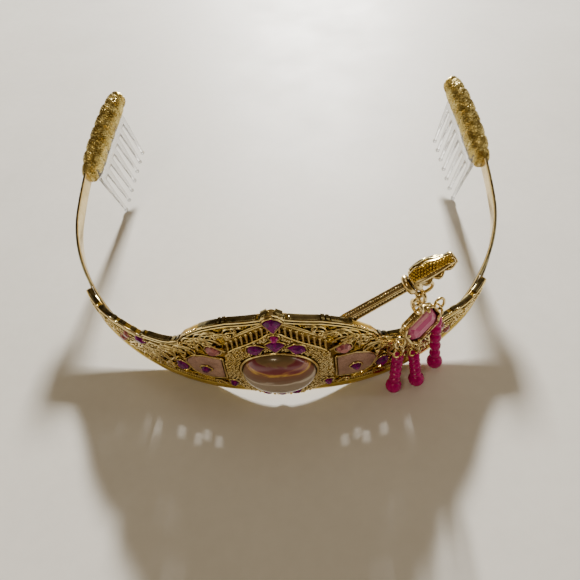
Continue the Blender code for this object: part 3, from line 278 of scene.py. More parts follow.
def on_face(flat):
    """Places in the band's frame for many rows of arc, height and distance out."""
    flat = np.asarray(flat, float).reshape(-1, 3)
    s, v, out = flat[:, 0], flat[:, 1], flat[:, 2]
    side = np.where(s < 0, -1.0, 1.0)
    along = np.minimum(np.abs(s), BAND_HALF_LENGTH)
    past = np.abs(s) - along
    x = np.interp(along, PATH_ARC, PATH_X)
    y = np.interp(along, PATH_ARC, PATH_Y)
    tangent_x = np.interp(along, PATH_ARC, TANGENT_X)
    tangent_y = np.interp(along, PATH_ARC, TANGENT_Y)
    length = np.hypot(tangent_x, tangent_y)
    outward_x = side * tangent_y / length
    outward_y = -tangent_x / length
    share = np.clip((np.abs(s) - CROWN_HALF_ARC) / (WIDEST_ARC - CROWN_HALF_ARC), 0.0, 1.0)
    lean = FACE_LEAN * (1.0 - share)
    near = np.abs(s) < ARCH_HALF_LENGTH
    arch = np.where(near, ARCH_RISE * np.cos(math.pi / 2 * s / ARCH_HALF_LENGTH) ** 2, 0.0)
    foot = np.stack([side * (x + past * tangent_x / length), y + past * tangent_y / length,
                     arch - RIM_BELOW_CENTRE], axis=1)
    up = np.stack([-outward_x * np.sin(lean), -outward_y * np.sin(lean), np.cos(lean)], axis=1)
    outward = np.stack([outward_x * np.cos(lean), outward_y * np.cos(lean), np.sin(lean)], axis=1)
    return foot + up * v[:, None] + outward * out[:, None]


def face_axes(s):
    """The face's directions at the arc s: along, up and out."""
    here, above, before = on_face([(s, 0.01, 0.0), (s, 0.02, 0.0), (s, 0.01, 0.01)])
    up = Vector(above - here).normalized()
    out = Vector(before - here).normalized()
    return up.cross(out), up, out


def comb_point(y_share, down):
    """A point of the right comb's middle plane, from its share along and its depth."""
    width = (TEETH - 1) * TOOTH_PITCH
    back = y_share * width
    x = COMB_FRONT_X - back * math.sin(COMB_TURN) - down * math.sin(COMB_LEAN) * math.cos(COMB_TURN)
    y = COMB_FRONT_Y + back * math.cos(COMB_TURN) - down * math.sin(COMB_LEAN) * math.sin(COMB_TURN)
    return Vector((x, y, -down * math.cos(COMB_LEAN)))


def rest_tilt():
    """The tilt that puts the rim's lowest point and the front teeth on one level."""
    tooth = comb_point(0.0, COMB_REACH)
    rim = on_face([(s, 0.0, CLEARANCE) for s in np.linspace(0.0, CROWN_HALF_ARC, 200)])
    low, high = 0.0, math.radians(45)
    for _ in range(40):
        tilt = (low + high) / 2
        rim_height = float(np.min(rim[:, 1] * math.sin(tilt) + rim[:, 2] * math.cos(tilt)))
        tooth_height = tooth.y * math.sin(tilt) + tooth.z * math.cos(tilt)
        if tooth_height < rim_height:
            low = tilt
        else:
            high = tilt
    return (low + high) / 2, rim_height


TILT, TABLE_HEIGHT = rest_tilt()
DOWN = Vector((0.0, -math.sin(TILT), -math.cos(TILT)))


def band_to_world():
    """The band's place at rest, found from where its strip lies in the frame."""
    arcs = np.linspace(-BAND_HALF_LENGTH + BAND_END_INSET, BAND_HALF_LENGTH - BAND_END_INSET, 800)
    corners = [(s, v, out) for s in arcs for v in (0.0, STRIP_HEIGHT) for out in (-STRIP_THICKNESS, 0.0)]
    tilted = on_face(corners) @ np.array(Matrix.Rotation(TILT, 3, "X")).T
    low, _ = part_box("headband")
    place = Vector((0.0, low.y - tilted[:, 1].min(), low.z - tilted[:, 2].min()))
    return Matrix.Translation(place) @ Matrix.Rotation(TILT, 4, "X")


BAND_TO_WORLD = band_to_world()


def height_over_table(point):
    return -point.dot(DOWN) - TABLE_HEIGHT


# Outlines in the flat layout

def both_sides(half):
    """A closed outline from its right half, listed from the top down to the foot."""
    left = [(-x, y) for x, y in reversed(half) if x > 1e-6]
    return list(half) + left


def ellipse(centre, length, width, slope, count=12, pointed=0.0):
    """A round, oval or pointed outline."""
    outline = []
    for i in range(count):
        angle = 2 * math.pi * i / count
        narrow = 1.0 - pointed * abs(math.cos(angle)) ** 2
        x = length / 2 * math.cos(angle)
        y = width / 2 * math.sin(angle) * narrow
        outline.append((
            centre[0] + x * math.cos(slope) - y * math.sin(slope),
            centre[1] + x * math.sin(slope) + y * math.cos(slope),
        ))
    return outline


def kite(centre, length, width, slope=0.0, shoulder=0.22):
    """A kite with its long point down, each side broken once, listed anticlockwise."""
    half = [(0.0, -0.5), (0.27, -0.12), (0.5, shoulder), (0.26, 0.42), (0.0, 0.5)]
    shape = half + [(-x, y) for x, y in reversed(half[1:-1])]
    points = [(x * width, y * length) for x, y in shape]
    return [(
        centre[0] + x * math.cos(slope) - y * math.sin(slope),
        centre[1] + x * math.sin(slope) + y * math.cos(slope),
    ) for x, y in points]


def grown(outline, by):
    """An anticlockwise outline moved outwards by an even distance."""
    result = []
    for i, point in enumerate(outline):
        here = Vector(point)
        before = (here - Vector(outline[i - 1])).normalized()
        after = (Vector(outline[(i + 1) % len(outline)]) - here).normalized()
        normal_a = Vector((before.y, -before.x))
        normal_b = Vector((after.y, -after.x))
        middle = (normal_a + normal_b).normalized()
        stretch = 1.0 / max(middle.dot(normal_a), 0.55)
        moved = here + middle * by * stretch
        result.append((moved.x, moved.y))
    return result


def scaled(outline, share):
    x0 = sum(p[0] for p in outline) / len(outline)
    y0 = sum(p[1] for p in outline) / len(outline)
    return [(x0 + (x - x0) * share, y0 + (y - y0) * share) for x, y in outline]


def mirror_outline(outline):
    return [(-x, y) for x, y in reversed(outline)]


def top_edge():
    return [(s * CROWN_HALF_ARC, v * CROWN_HEIGHT) for s, v in TOP_EDGE]


def plate_outline():
    wing_foot = (WING_FOOT * CROWN_HALF_ARC, 0.0)
    return both_sides(top_edge() + [wing_foot])


def shield_outline():
    half = [(x * BEZEL_OUTER, GEM_CENTRE_V + y * BEZEL_OUTER) for x, y in SHIELD_EDGE]
    return both_sides(half)


def shield_top_at(s):
    """The height of the shield's upper edge at the arc s."""
    half = [(x * BEZEL_OUTER, GEM_CENTRE_V + y * BEZEL_OUTER) for x, y in SHIELD_EDGE[:6]]
    return float(np.interp(abs(s), [p[0] for p in half], [p[1] for p in half]))


SHIELD_HALF_ARC = max(x for x, y in SHIELD_EDGE) * BEZEL_OUTER
RIB_HALF_ARC = 0.885 * SHIELD_HALF_ARC
TOP_STONE_V = CROWN_HEIGHT * TOP_STONE_SHARE


def rib_top_at(s):
    """The arch over the ribs, from under the top stone down to the shield's shoulder."""
    share = min(abs(s) / RIB_HALF_ARC, 1.0)
    crest = TOP_STONE_V
    spring = shield_top_at(RIB_HALF_ARC) + RIB_SPRING_SHARE * CROWN_HEIGHT
    return crest - (crest - spring) * share ** 1.2


def panel_outline():
    inner_s = SHIELD_HALF_ARC + PANEL_FROM_SHIELD
    foot_v = GEM_CENTRE_V - PANEL_BELOW_GEM
    return [(inner_s + x * PANEL_WIDTH, foot_v + y * PANEL_HEIGHT) for x, y in PANEL_EDGE]


def crown_place(shares):
    return shares[0] * CROWN_HALF_ARC, shares[1] * CROWN_HEIGHT


def round_outline(centre, radius):
    return ellipse(centre, 2 * radius, 2 * radius, 0, STONE_SIDES)


def top_stone_outline():
    return kite((0.0, TOP_STONE_V), TOP_KITE_LENGTH, KITE_WIDTH)


def stone_table():
    stack = 2 * CLEARANCE + COLLAR_WALL
    kite_v = GEM_CENTRE_V + BEZEL_OUTER + stack - CLEARANCE + KITE_LENGTH / 2
    round_v = kite_v + KITE_LENGTH / 2 + stack + SMALL_ROUND_RADIUS
    rhomb_reach = BEZEL_OUTER + COLLAR_WALL + CLEARANCE + RHOMB_WIDTH / 2
    rhomb = (rhomb_reach * math.sin(RHOMB_ANGLE), GEM_CENTRE_V + rhomb_reach * math.cos(RHOMB_ANGLE))
    foot_reach = BEZEL_OUTER + COLLAR_WALL + CLEARANCE + FOOT_STONE_WIDTH
    foot = (foot_reach * math.sin(FOOT_STONE_ANGLE), GEM_CENTRE_V - foot_reach * math.cos(FOOT_STONE_ANGLE))
    foot_middle = (0.0, GEM_CENTRE_V - foot_reach)
    side = (SHIELD_HALF_ARC - 0.7 * SIDE_STONE_LENGTH, GEM_CENTRE_V - 0.80 * BEZEL_OUTER)
    panel = panel_outline()
    panel_middle = (panel[0][0] + 0.45 * PANEL_WIDTH, panel[0][1] + 0.40 * PANEL_HEIGHT)
    marquise = (panel[4][0] + MARQUISE_WIDTH / 2 + MARQUISE_GAP, panel[4][1] - 0.30 * PANEL_HEIGHT)
    small = STONE_SIDES
    return (
        ("top_stone", top_stone_outline(), TOP_MOUNT_FRONT, "purple", False),
        ("big_kite_stone", kite((0.0, kite_v), KITE_LENGTH, KITE_WIDTH), SHIELD_FRONT, "purple", False),
        ("small_round_stone", round_outline((0.0, round_v), SMALL_ROUND_RADIUS),
         SHIELD_FRONT, "magenta", False),
        ("rhomb_stone", kite(rhomb, RHOMB_WIDTH, RHOMB_LENGTH, -RHOMB_ANGLE, 0.0),
         SHIELD_FRONT, "purple", True),
        ("foot_stone", ellipse(foot, FOOT_STONE_LENGTH, FOOT_STONE_WIDTH, FOOT_STONE_ANGLE, small, 0.4),
         SHIELD_FRONT, "purple", True),
        ("foot_middle_stone", ellipse(foot_middle, 0.9 * FOOT_STONE_LENGTH, FOOT_STONE_WIDTH, 0, small, 0.4),
         SHIELD_FRONT, "purple", False),
        ("side_stone", ellipse(side, SIDE_STONE_LENGTH, SIDE_STONE_WIDTH, math.radians(35), small, 0.3),
         SHIELD_FRONT, "purple", True),
        ("panel_stone", ellipse(panel_middle, PANEL_STONE_LENGTH, PANEL_STONE_WIDTH, 0, small, 0.5),
         PLATE_FRONT + CLEARANCE + PANEL_THICKNESS, "purple", True),
        ("marquise_stone", ellipse(marquise, MARQUISE_LENGTH, MARQUISE_WIDTH, math.radians(60), small, 0.35),
         PLATE_FRONT, "purple", True),
        ("pink_stone", round_outline(crown_place(PINK_PLACE), PINK_RADIUS), PLATE_FRONT, "pink", True),
        ("wing_marquise_stone",
         ellipse(crown_place(WING_MARQUISE_PLACE), MARQUISE_LENGTH, WING_MARQUISE_WIDTH, math.radians(-12),
                 small, 0.4),
         PLATE_FRONT, "purple", True),
        ("wing_upper_pink_stone", round_outline(crown_place(WING_UPPER_PINK_PLACE), WING_PINK_RADIUS),
         PLATE_FRONT, "pink", True),
        ("wing_lower_pink_stone", round_outline(crown_place(WING_LOWER_PINK_PLACE), WING_PINK_RADIUS),
         PLATE_FRONT, "pink", True),
    )


def slot_outlines():
    """Upright flutes between the ribs, closed at the back."""
    outlines = []
    pitch = (RIB_HALF_ARC - MIDDLE_RIB_HALF_WIDTH) / SLOTS_PER_SIDE
    for i in range(SLOTS_PER_SIDE):
        s = MIDDLE_RIB_HALF_WIDTH + pitch * (i + 0.5)
        low = shield_top_at(s - SLOT_WIDTH) + SLOT_END_MARGIN
        high = rib_top_at(s + SLOT_WIDTH) - SLOT_END_MARGIN
        if high - low > 2 * SLOT_WIDTH:
            outlines.append([(s - SLOT_WIDTH / 2, low), (s + SLOT_WIDTH / 2, low),
                             (s + SLOT_WIDTH / 2, high), (s - SLOT_WIDTH / 2, high)])
    return outlines


def top_edge_at(s):
    line = top_edge()[:-1]
    return float(np.interp(abs(s), [p[0] for p in line], [p[1] for p in line]))


def wing_gap_outlines():
    """Leaf gaps that fan out along the wing, two or three over each other in a column."""
    outlines = []
    start = WING_GAPS_START * CROWN_HALF_ARC
    columns = int((WING_GAPS_END * CROWN_HALF_ARC - start) / GAP_COLUMN_PITCH)
    for column in range(columns):
        s = start + GAP_COLUMN_PITCH * (column + 0.5)
        low = BORDER_HEIGHT + GAP_MARGIN
        high = top_edge_at(s) - EDGE_WIDTH - GAP_MARGIN
        rows = max(1, round((high - low) / GAP_ROW_HEIGHT))
        room = (high - low) / rows
        lean = GAP_FIRST_LEAN - GAP_LEAN_STEP * column
        for row in range(rows):
            centre = (s + GAP_ROW_SHIFT * (row - (rows - 1) / 2), low + room * (row + 0.5))
            length = min(room - GAP_MARGIN, GAP_LONGEST) / math.sin(lean)
            outlines.append(ellipse(centre, 0.94 * length, GAP_WIDTH, lean, GAP_SIDES))
    return outlines


def leaf_gap_outlines():
    outlines = []
    for s, v, length, width, slope in LEAF_GAPS:
        outlines.append(ellipse(crown_place((s, v)), length * CROWN_HEIGHT, width * CROWN_HEIGHT,
                                math.radians(slope), GAP_SIDES))
    return outlines


def gem_circle(radius):
    return ellipse((0.0, GEM_CENTRE_V), 2 * radius, 2 * radius, 0, GEM_SIDES)


# Materials

# The layout map holds places in the flat layout, in millimetres.
LAYOUT_SCALE = 1000.0


def new_material(name, **sockets):
    """A node material, with its even values set on the shader's own sockets."""
    material = bpy.data.materials.new(name)
    material.use_nodes = True
    shader = material.node_tree.nodes["Principled BSDF"]
    for socket, value in sockets.items():
        shader.inputs[socket.replace("_", " ").title().replace("Ior", "IOR")].default_value = value
    return material, material.node_tree, shader


def add_node(tree, kind, inputs, **settings):
    """A shader node whose inputs are given as values, or as outputs to link."""
    node = tree.nodes.new("ShaderNode" + kind)
    for setting, value in settings.items():
        setattr(node, setting, value)
    for socket, value in inputs.items():
        if isinstance(value, bpy.types.NodeSocket):
            tree.links.new(value, node.inputs[socket])
        else:
            node.inputs[socket].default_value = value
    return node


def add_noise(tree, vector, scale, detail=2.0, distortion=0.0):
    inputs = {"Vector": vector, "Scale": scale, "Detail": detail, "Distortion": distortion}
    return add_node(tree, "TexNoise", inputs).outputs["Fac"]


def add_ramp(tree, source, stops):
    """A colour ramp from positions and colours."""
    ramp = add_node(tree, "ValToRGB", {"Fac": source})
    elements = ramp.color_ramp.elements
    while len(elements) < len(stops):
        elements.new(0.5)
    for element, (position, colour) in zip(elements, stops):
        element.position = position
        element.color = (*colour, 1.0)
    return ramp.outputs["Color"]


def add_bump(tree, shader, height, strength, distance):
    relief = add_node(tree, "Bump", {"Strength": strength, "Distance": distance, "Height": height})
    tree.links.new(relief.outputs["Normal"], shader.inputs["Normal"])


def surface(name, light, dark, roughness, metallic=1.0, grain=0.0003, bump=0.3, depth=0.00003,
            rough_spread=0.08, painted_shade_reach=0.0, **sockets):
    """A finish whose colour, roughness and relief vary with a noise; given a reach for ambient occlusion, it
    paints shade into its hollows by darkening their colour.
    """
    material, tree, shader = new_material(name, metallic=metallic, **sockets)
    place = add_node(tree, "TexCoord", {}).outputs["Object"]
    fine = add_noise(tree, place, 1.0 / grain, 4.0)
    broad = add_noise(tree, place, 0.12 / grain)
    half = add_node(tree, "Math", {0: broad, 1: 0.5}, operation="MULTIPLY").outputs[0]
    mixed = add_node(tree, "Math", {0: fine, 1: 0.5, 2: half}, operation="MULTIPLY_ADD").outputs[0]
    colour = add_ramp(tree, mixed, ((0.36, dark), (0.64, light)))
    # Painted shade: the colour is darkened where ambient occlusion finds hollows and creases.
    if painted_shade_reach:
        hollow = add_node(tree, "AmbientOcclusion", {"Distance": painted_shade_reach}, samples=4).outputs["AO"]
        shade = add_node(tree, "MapRange", {"From Min": 0.25, "From Max": 0.9, "To Min": 0.22,
                                            "Value": hollow})
        darker = add_node(tree, "VectorMath", {0: colour, "Scale": shade.outputs["Result"]},
                          operation="SCALE")
        colour = darker.outputs["Vector"]
    tree.links.new(colour, shader.inputs["Base Color"])
    least = max(0.0, roughness - rough_spread)
    spread = add_node(tree, "MapRange", {"To Min": least, "To Max": roughness + rough_spread,
                                         "Value": broad})
    tree.links.new(spread.outputs["Result"], shader.inputs["Roughness"])
    add_bump(tree, shader, fine, bump, depth)
    return material


def cut_glass(name, shaded_facet_colour, lit_facet_colour, roughness, **sockets):
    """A foiled cut stone with painted light and shade: each facet's colour is set by the way it faces."""
    material, tree, shader = new_material(name, roughness=roughness, coat_weight=0.12, coat_roughness=0.02,
                                          **sockets)
    facing = add_node(tree, "NewGeometry", {}).outputs["True Normal"]
    turned = add_node(tree, "VectorMath", {0: facing, 1: (2.3, 3.1, 2.7)}, operation="MULTIPLY")
    shade = add_noise(tree, turned.outputs["Vector"], 1.4, 0.0)
    # Painted light and shade: each facing picks a colour between the shaded and the lit facet colour.
    colour = add_ramp(tree, shade, ((0.40, shaded_facet_colour), (0.66, lit_facet_colour)))
    tree.links.new(colour, shader.inputs["Base Color"])
    return material


def comb_material():
    """Clear plastic with a faint unevenness."""
    material, tree, shader = new_material("comb_plastic", base_color=(0.97, 0.98, 0.99, 1.0), ior=1.45,
                                          transmission_weight=0.82, roughness=0.12)
    place = add_node(tree, "TexCoord", {}).outputs["Object"]
    add_bump(tree, shader, add_noise(tree, place, 1.0 / 0.003), 0.2, 0.0001)
    return material


# The dome's bands from its foot to its top: share of the height, and colour
# The pale lower bands are the stone's tint with a painted reflection of the floor, the near-white line is a
# painted reflection, and the darker bands above are the foil's streaks.
DOME_FOIL_AND_REFLECTION_BANDS = (
    (0.00, (0.40, 0.31, 0.24)), (0.52, (0.42, 0.33, 0.26)), (0.55, (0.82, 0.74, 0.66)),
    (0.58, (0.70, 0.60, 0.50)), (0.60, (0.26, 0.15, 0.10)), (0.66, (0.22, 0.09, 0.05)),
    (0.74, (0.27, 0.10, 0.04)), (0.77, (0.78, 0.47, 0.07)), (0.79, (0.44, 0.16, 0.05)),
    (0.82, (0.22, 0.02, 0.035)), (0.90, (0.20, 0.02, 0.035)), (0.93, (0.26, 0.15, 0.07)),
    (0.97, (0.18, 0.12, 0.05)),
)
BAND_WANDER = 0.10


def dome_material():
    """The dome over its streaked foil: bands of mauve, rose and yellow under a clear polish, with a painted
    reflection of the floor in its pale lower bands.
    """
    material, tree, shader = new_material("streaked_dome_painted_reflection", roughness=0.30, coat_weight=0.7,
                                          coat_roughness=0.03)
    layout = add_node(tree, "UVMap", {}, uv_map="layout").outputs["UV"]
    stretched = add_node(tree, "VectorMath", {0: layout, 1: (0.16, 0.50, 1.0)}, operation="MULTIPLY")
    noise = add_noise(tree, stretched.outputs["Vector"], 1.0, 2.5, 0.4)
    height = add_node(tree, "SeparateXYZ", {0: layout}).outputs["Y"]
    foot = (GEM_CENTRE_V - GEM_RADIUS) * LAYOUT_SCALE
    top = (GEM_CENTRE_V + GEM_RADIUS) * LAYOUT_SCALE
    level = add_node(tree, "MapRange", {"From Min": foot, "From Max": top, "Value": height})
    wander = add_node(tree, "MapRange", {"To Min": -BAND_WANDER, "To Max": BAND_WANDER, "Value": noise})
    shift = add_node(tree, "Math", {0: wander.outputs["Result"], 1: level.outputs["Result"]})
    tree.links.new(add_ramp(tree, shift.outputs[0], DOME_FOIL_AND_REFLECTION_BANDS), shader.inputs["Base Color"])
    return material


# Where a finish below is given an occlusion reach, shade is painted into the colour of its hollows.
GOLD_RECESS = surface("gold_recess", (0.80, 0.52, 0.07), (0.30, 0.17, 0.012), 0.36, grain=0.0009,
                      bump=0.6, painted_shade_reach=0.0018)
GOLD_UNDER = surface("gold_under_wire", (0.92, 0.62, 0.11), (0.56, 0.34, 0.03), 0.24, grain=0.0010,
                     bump=0.2, painted_shade_reach=0.0010)
GOLD_FLUTE = surface("gold_flute", (0.92, 0.68, 0.16), (0.62, 0.42, 0.06), 0.34, grain=0.0010, bump=0.2)
GOLD_GRAINS = surface("gold_grains", (1.0, 0.84, 0.44), (0.76, 0.56, 0.19), 0.20, grain=0.0012,
                      bump=0.1, painted_shade_reach=0.0006)
GOLD_WIRE = surface("gold_wire", (1.0, 0.83, 0.42), (0.70, 0.50, 0.13), 0.16, grain=0.0016, bump=0.1,
                    painted_shade_reach=0.0009)
# Near-black polished gold: its dark is a painted dark reflection, and its paler noise patches are painted
# highlights.
GOLD_DARK_PAINTED_REFLECTION = surface("gold_edge_painted_reflection", (0.46, 0.38, 0.17), (0.05, 0.04, 0.01), 0.20, grain=0.0022, bump=0.2)
GOLD_RIM = surface("gold_rim", (0.74, 0.55, 0.14), (0.50, 0.35, 0.06), 0.22, grain=0.0016, bump=0.10)
PALE_GOLD = surface("pale_gold", (0.86, 0.71, 0.40), (0.68, 0.52, 0.23), 0.20, grain=0.0012, bump=0.10)
ARM_GOLD = surface("arm_gold", (0.97, 0.80, 0.44), (0.58, 0.41, 0.12), 0.18, grain=0.0010, bump=0.15,
                   painted_shade_reach=0.0010)
BRAID = surface("metallic_braid", (0.89, 0.75, 0.29), (0.33, 0.22, 0.035), 0.34, metallic=0.9,
                grain=0.0005, bump=0.8, painted_shade_reach=0.0012)
ENAMEL = surface("mauve_enamel", (0.64, 0.40, 0.31), (0.34, 0.18, 0.14), 0.46, metallic=0.0,
                 grain=0.0005, bump=0.9, depth=0.00006, coat_weight=0.10)
PURPLE = cut_glass("purple_glass", (0.10, 0.0, 0.10), (0.32, 0.0, 0.26), 0.16, specular_ior_level=0.30)
PINK = cut_glass("pink_glass", (0.30, 0.07, 0.09), (0.74, 0.30, 0.30), 0.08)
ROSE = cut_glass("rose_glass", (0.58, 0.05, 0.24), (0.92, 0.44, 0.60), 0.10, specular_ior_level=0.35)
BRIGHT = cut_glass("magenta_stone", (0.34, 0.0, 0.16), (0.70, 0.01, 0.36), 0.10)
MAGENTA = surface("magenta_glass", (0.62, 0.0, 0.22), (0.36, 0.0, 0.12), 0.14, metallic=0.0,
                  grain=0.0010, bump=0.1, rough_spread=0.04, specular_ior_level=0.22, coat_weight=0.05)
COMB_PLASTIC = comb_material()


# Shapes

def mirrored(shape):
    """The shape's mirror image, on the other side of the crown."""
    points, faces = shape
    return np.asarray(points, float) * (-1.0, 1.0, 1.0), [tuple(reversed(face)) for face in faces]


def placed(points, matrix):
    return points @ np.array(matrix.to_3x3()).T + np.array(matrix.translation)


class Shapes:
    """Many small shapes, gathered into one mesh."""

    def __init__(self):
        self.points = []
        self.faces = []
        self.total = 0

    def add(self, shape):
        points, faces = shape
        self.points.append(np.asarray(points, float).reshape(-1, 3))
        self.faces.extend(tuple(i + self.total for i in face) for face in faces)
        self.total += len(self.points[-1])
        return self

    def add_both(self, shape):
        return self.add(shape).add(mirrored(shape))


def piece(name, shapes, material, replaced=(), flat=True, matrix=None, degrees=40):
    """An object of the gathered shapes, laid on the face or placed from a frame of its own."""
    points = np.concatenate(shapes.points)
    layout = points[:, :2] * LAYOUT_SCALE
    if flat:
        points = on_face(points)
    elif matrix is not None:
        points = placed(points, matrix)
    points = placed(points, BAND_TO_WORLD)
    mesh = bpy.data.meshes.new(name)
    mesh.from_pydata(points.tolist(), [], shapes.faces)
    mesh.validate()
    mesh.shade_smooth()
    mesh.set_sharp_from_angle(angle=math.radians(degrees))
    uv = mesh.uv_layers.new(name="layout")
    corners = np.empty(len(mesh.loops), dtype=np.int32)
    mesh.loops.foreach_get("vertex_index", corners)
    uv.data.foreach_set("uv", layout[corners].astype(np.float32).ravel())
    mesh.materials.append(material)
    obj = bpy.data.objects.new(name, mesh)
    bpy.context.scene.collection.objects.link(obj)
    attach(obj, "root")
    if replaced:
        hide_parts(*replaced)
    return obj


def tube(points, radius, sides=6, closed=False, flatten=1.0):
    """A round wire along a line; radius is one value, or one per point."""
    line = np.asarray(points, float)
    count = len(line)
    radii = np.broadcast_to(np.asarray(radius, float), (count,))
    if closed:
        tangents = np.roll(line, -1, axis=0) - np.roll(line, 1, axis=0)
    else:
        tangents = np.gradient(line, axis=0)
    tangents = tangents / np.maximum(np.linalg.norm(tangents, axis=1, keepdims=True), 1e-12)
    first = np.array((0.0, 0.0, 1.0))
    if abs(tangents[0] @ first) > 0.9:
        first = np.array((1.0, 0.0, 0.0))
    angles = 2 * math.pi * np.arange(sides) / sides
    rows = []
    for i in range(count):
        first = first - tangents[i] * (first @ tangents[i])
        first = first / np.linalg.norm(first)
        second = np.cross(tangents[i], first)
        rows.append(line[i] + radii[i] * (np.cos(angles)[:, None] * first * flatten
                                          + np.sin(angles)[:, None] * second))
    faces = []
    for i in range(count if closed else count - 1):
        a, b = i * sides, ((i + 1) % count) * sides
        for k in range(sides):
            m = (k + 1) % sides
            faces.append((a + k, a + m, b + m, b + k))
    if not closed:
        faces.append(tuple(reversed(range(sides))))
        faces.append(tuple(range((count - 1) * sides, count * sides)))
    return np.concatenate(rows), faces


def ball_template(level):
    work = bmesh.new()
    bmesh.ops.create_icosphere(work, subdivisions=level, radius=1.0)
    points = np.array([vert.co for vert in work.verts])
    faces = [tuple(vert.index for vert in face.verts) for face in work.faces]
    work.free()
    return points, faces


GRAIN = ball_template(1)
BALL = ball_template(2)


def ball(centre, radius, template=BALL, flatten=1.0):
    points, faces = template
    return points * (radius, radius, radius * flatten) + np.asarray(centre, float), faces


def ring(radius, wire, centre, axis, sides=40, wire_sides=12):
    """A round ring about an axis."""
    axis = Vector(axis).normalized()
    side = axis.orthogonal().normalized()
    other = axis.cross(side)
    line = [Vector(centre) + side * radius * math.cos(2 * math.pi * i / sides)
            + other * radius * math.sin(2 * math.pi * i / sides) for i in range(sides)]
    return tube([tuple(p) for p in line], wire, wire_sides, closed=True)


def loft(rings, capped=True):
    """A surface through rings of equal count."""
    count = len(rings[0])
    points = np.concatenate([np.asarray(r, float) for r in rings])
    faces = []
    for i in range(len(rings) - 1):
        for k in range(count):
            m = (k + 1) % count
            faces.append((i * count + k, i * count + m, (i + 1) * count + m, (i + 1) * count + k))
    if capped:
        faces.append(tuple(reversed(range(count))))
        faces.append(tuple(range((len(rings) - 1) * count, len(rings) * count)))
    return points, faces


def arrays(mesh):
    points = np.empty(len(mesh.vertices) * 3)
    mesh.vertices.foreach_get("co", points)
    return points.reshape(-1, 3), [tuple(p.vertices) for p in mesh.polygons]


FINE_STEP = 0.0020


def prism(outlines, low, high, bevel=0.0, step=FINE_STEP):
    """A flat piece with the given outlines, its edges rounded, ready to be laid on the face."""
    curve = bpy.data.curves.new("outline", "CURVE")
    curve.dimensions = "2D"
    curve.fill_mode = "BOTH"
    curve.extrude = (high - low) / 2
    for outline in outlines:
        spline = curve.splines.new("POLY")
        spline.points.add(len(outline) - 1)
        for point, (x, y) in zip(spline.points, outline):
            point.co = (x, y, 0.0, 1.0)
        spline.use_cyclic_u = True
    obj = bpy.data.objects.new("outline", curve)
    bpy.context.scene.collection.objects.link(obj)
    graph = bpy.context.evaluated_depsgraph_get()
    mesh = bpy.data.meshes.new_from_object(obj.evaluated_get(graph))
    bpy.data.objects.remove(obj)
    work = bmesh.new()
    work.from_mesh(mesh)
    bmesh.ops.remove_doubles(work, verts=work.verts, dist=1e-7)
    bmesh.ops.dissolve_limit(work, angle_limit=math.radians(0.5), verts=work.verts, edges=work.edges)
    if bevel:
        rims = [edge for edge in work.edges if len(edge.link_faces) == 2
                and edge.calc_face_angle(0.0) > math.radians(50)
                and abs(edge.verts[0].co.z - edge.verts[1].co.z) < 1e-6]
        bmesh.ops.bevel(work, geom=rims, offset=bevel, segments=2, profile=0.5, affect="EDGES",
                        clamp_overlap=True)
    if step:
        first = min(vert.co.x for vert in work.verts)
        last = max(vert.co.x for vert in work.verts)
        for i in range(math.ceil(first / step), math.floor(last / step) + 1):
            geometry = list(work.verts) + list(work.edges) + list(work.faces)
            bmesh.ops.bisect_plane(work, geom=geometry, dist=1e-7, plane_co=(i * step, 0, 0),
                                   plane_no=(1, 0, 0))
    bmesh.ops.triangulate(work, faces=[face for face in work.faces if len(face.verts) > 4])
    for vert in work.verts:
        vert.co.z += (low + high) / 2
    work.to_mesh(mesh)
    work.free()
    result = arrays(mesh)
    bpy.data.meshes.remove(mesh)
    return result


def closed_line(outline, out, count=0):
    """A closed line over an outline at one distance out, evenly resampled if count is given."""
    points = np.array([(x, y, out) for x, y in outline])
    if not count:
        return points
    around = np.vstack([points, points[:1]])
    steps = np.concatenate([[0.0], np.cumsum(np.linalg.norm(np.diff(around, axis=0), axis=1))])
    places = np.linspace(0.0, steps[-1], count, endpoint=False)
    return np.stack([np.interp(places, steps, around[:, i]) for i in range(3)], axis=1)


# Crown

PLATE_GAP_SIDES = 16


def rounder(outlines):
    """Gaps with smooth ends, in place of the few-sided ones."""
    result = []
    for outline in outlines:
        points = np.array(outline)
        centre = points.mean(axis=0)
        reach = points - centre
        far = reach[np.argmax(np.linalg.norm(reach, axis=1))]
        slope = math.atan2(far[1], far[0])
        across = np.abs(reach @ np.array((-math.sin(slope), math.cos(slope)))).max()
        result.append(ellipse(centre, 1.9 * np.linalg.norm(far), 1.9 * across, slope, PLATE_GAP_SIDES))
    return result


GAPS = rounder(wing_gap_outlines() + leaf_gap_outlines())


def both(outlines):
    return outlines + [mirror_outline(outline) for outline in outlines]


PLATE_BEVEL = 0.0002
RIB_BEVEL = 0.0001
SHIELD_BEVEL = 0.0003
FLUTE_DEPTH = 0.0002
RIB_STATIONS = 24


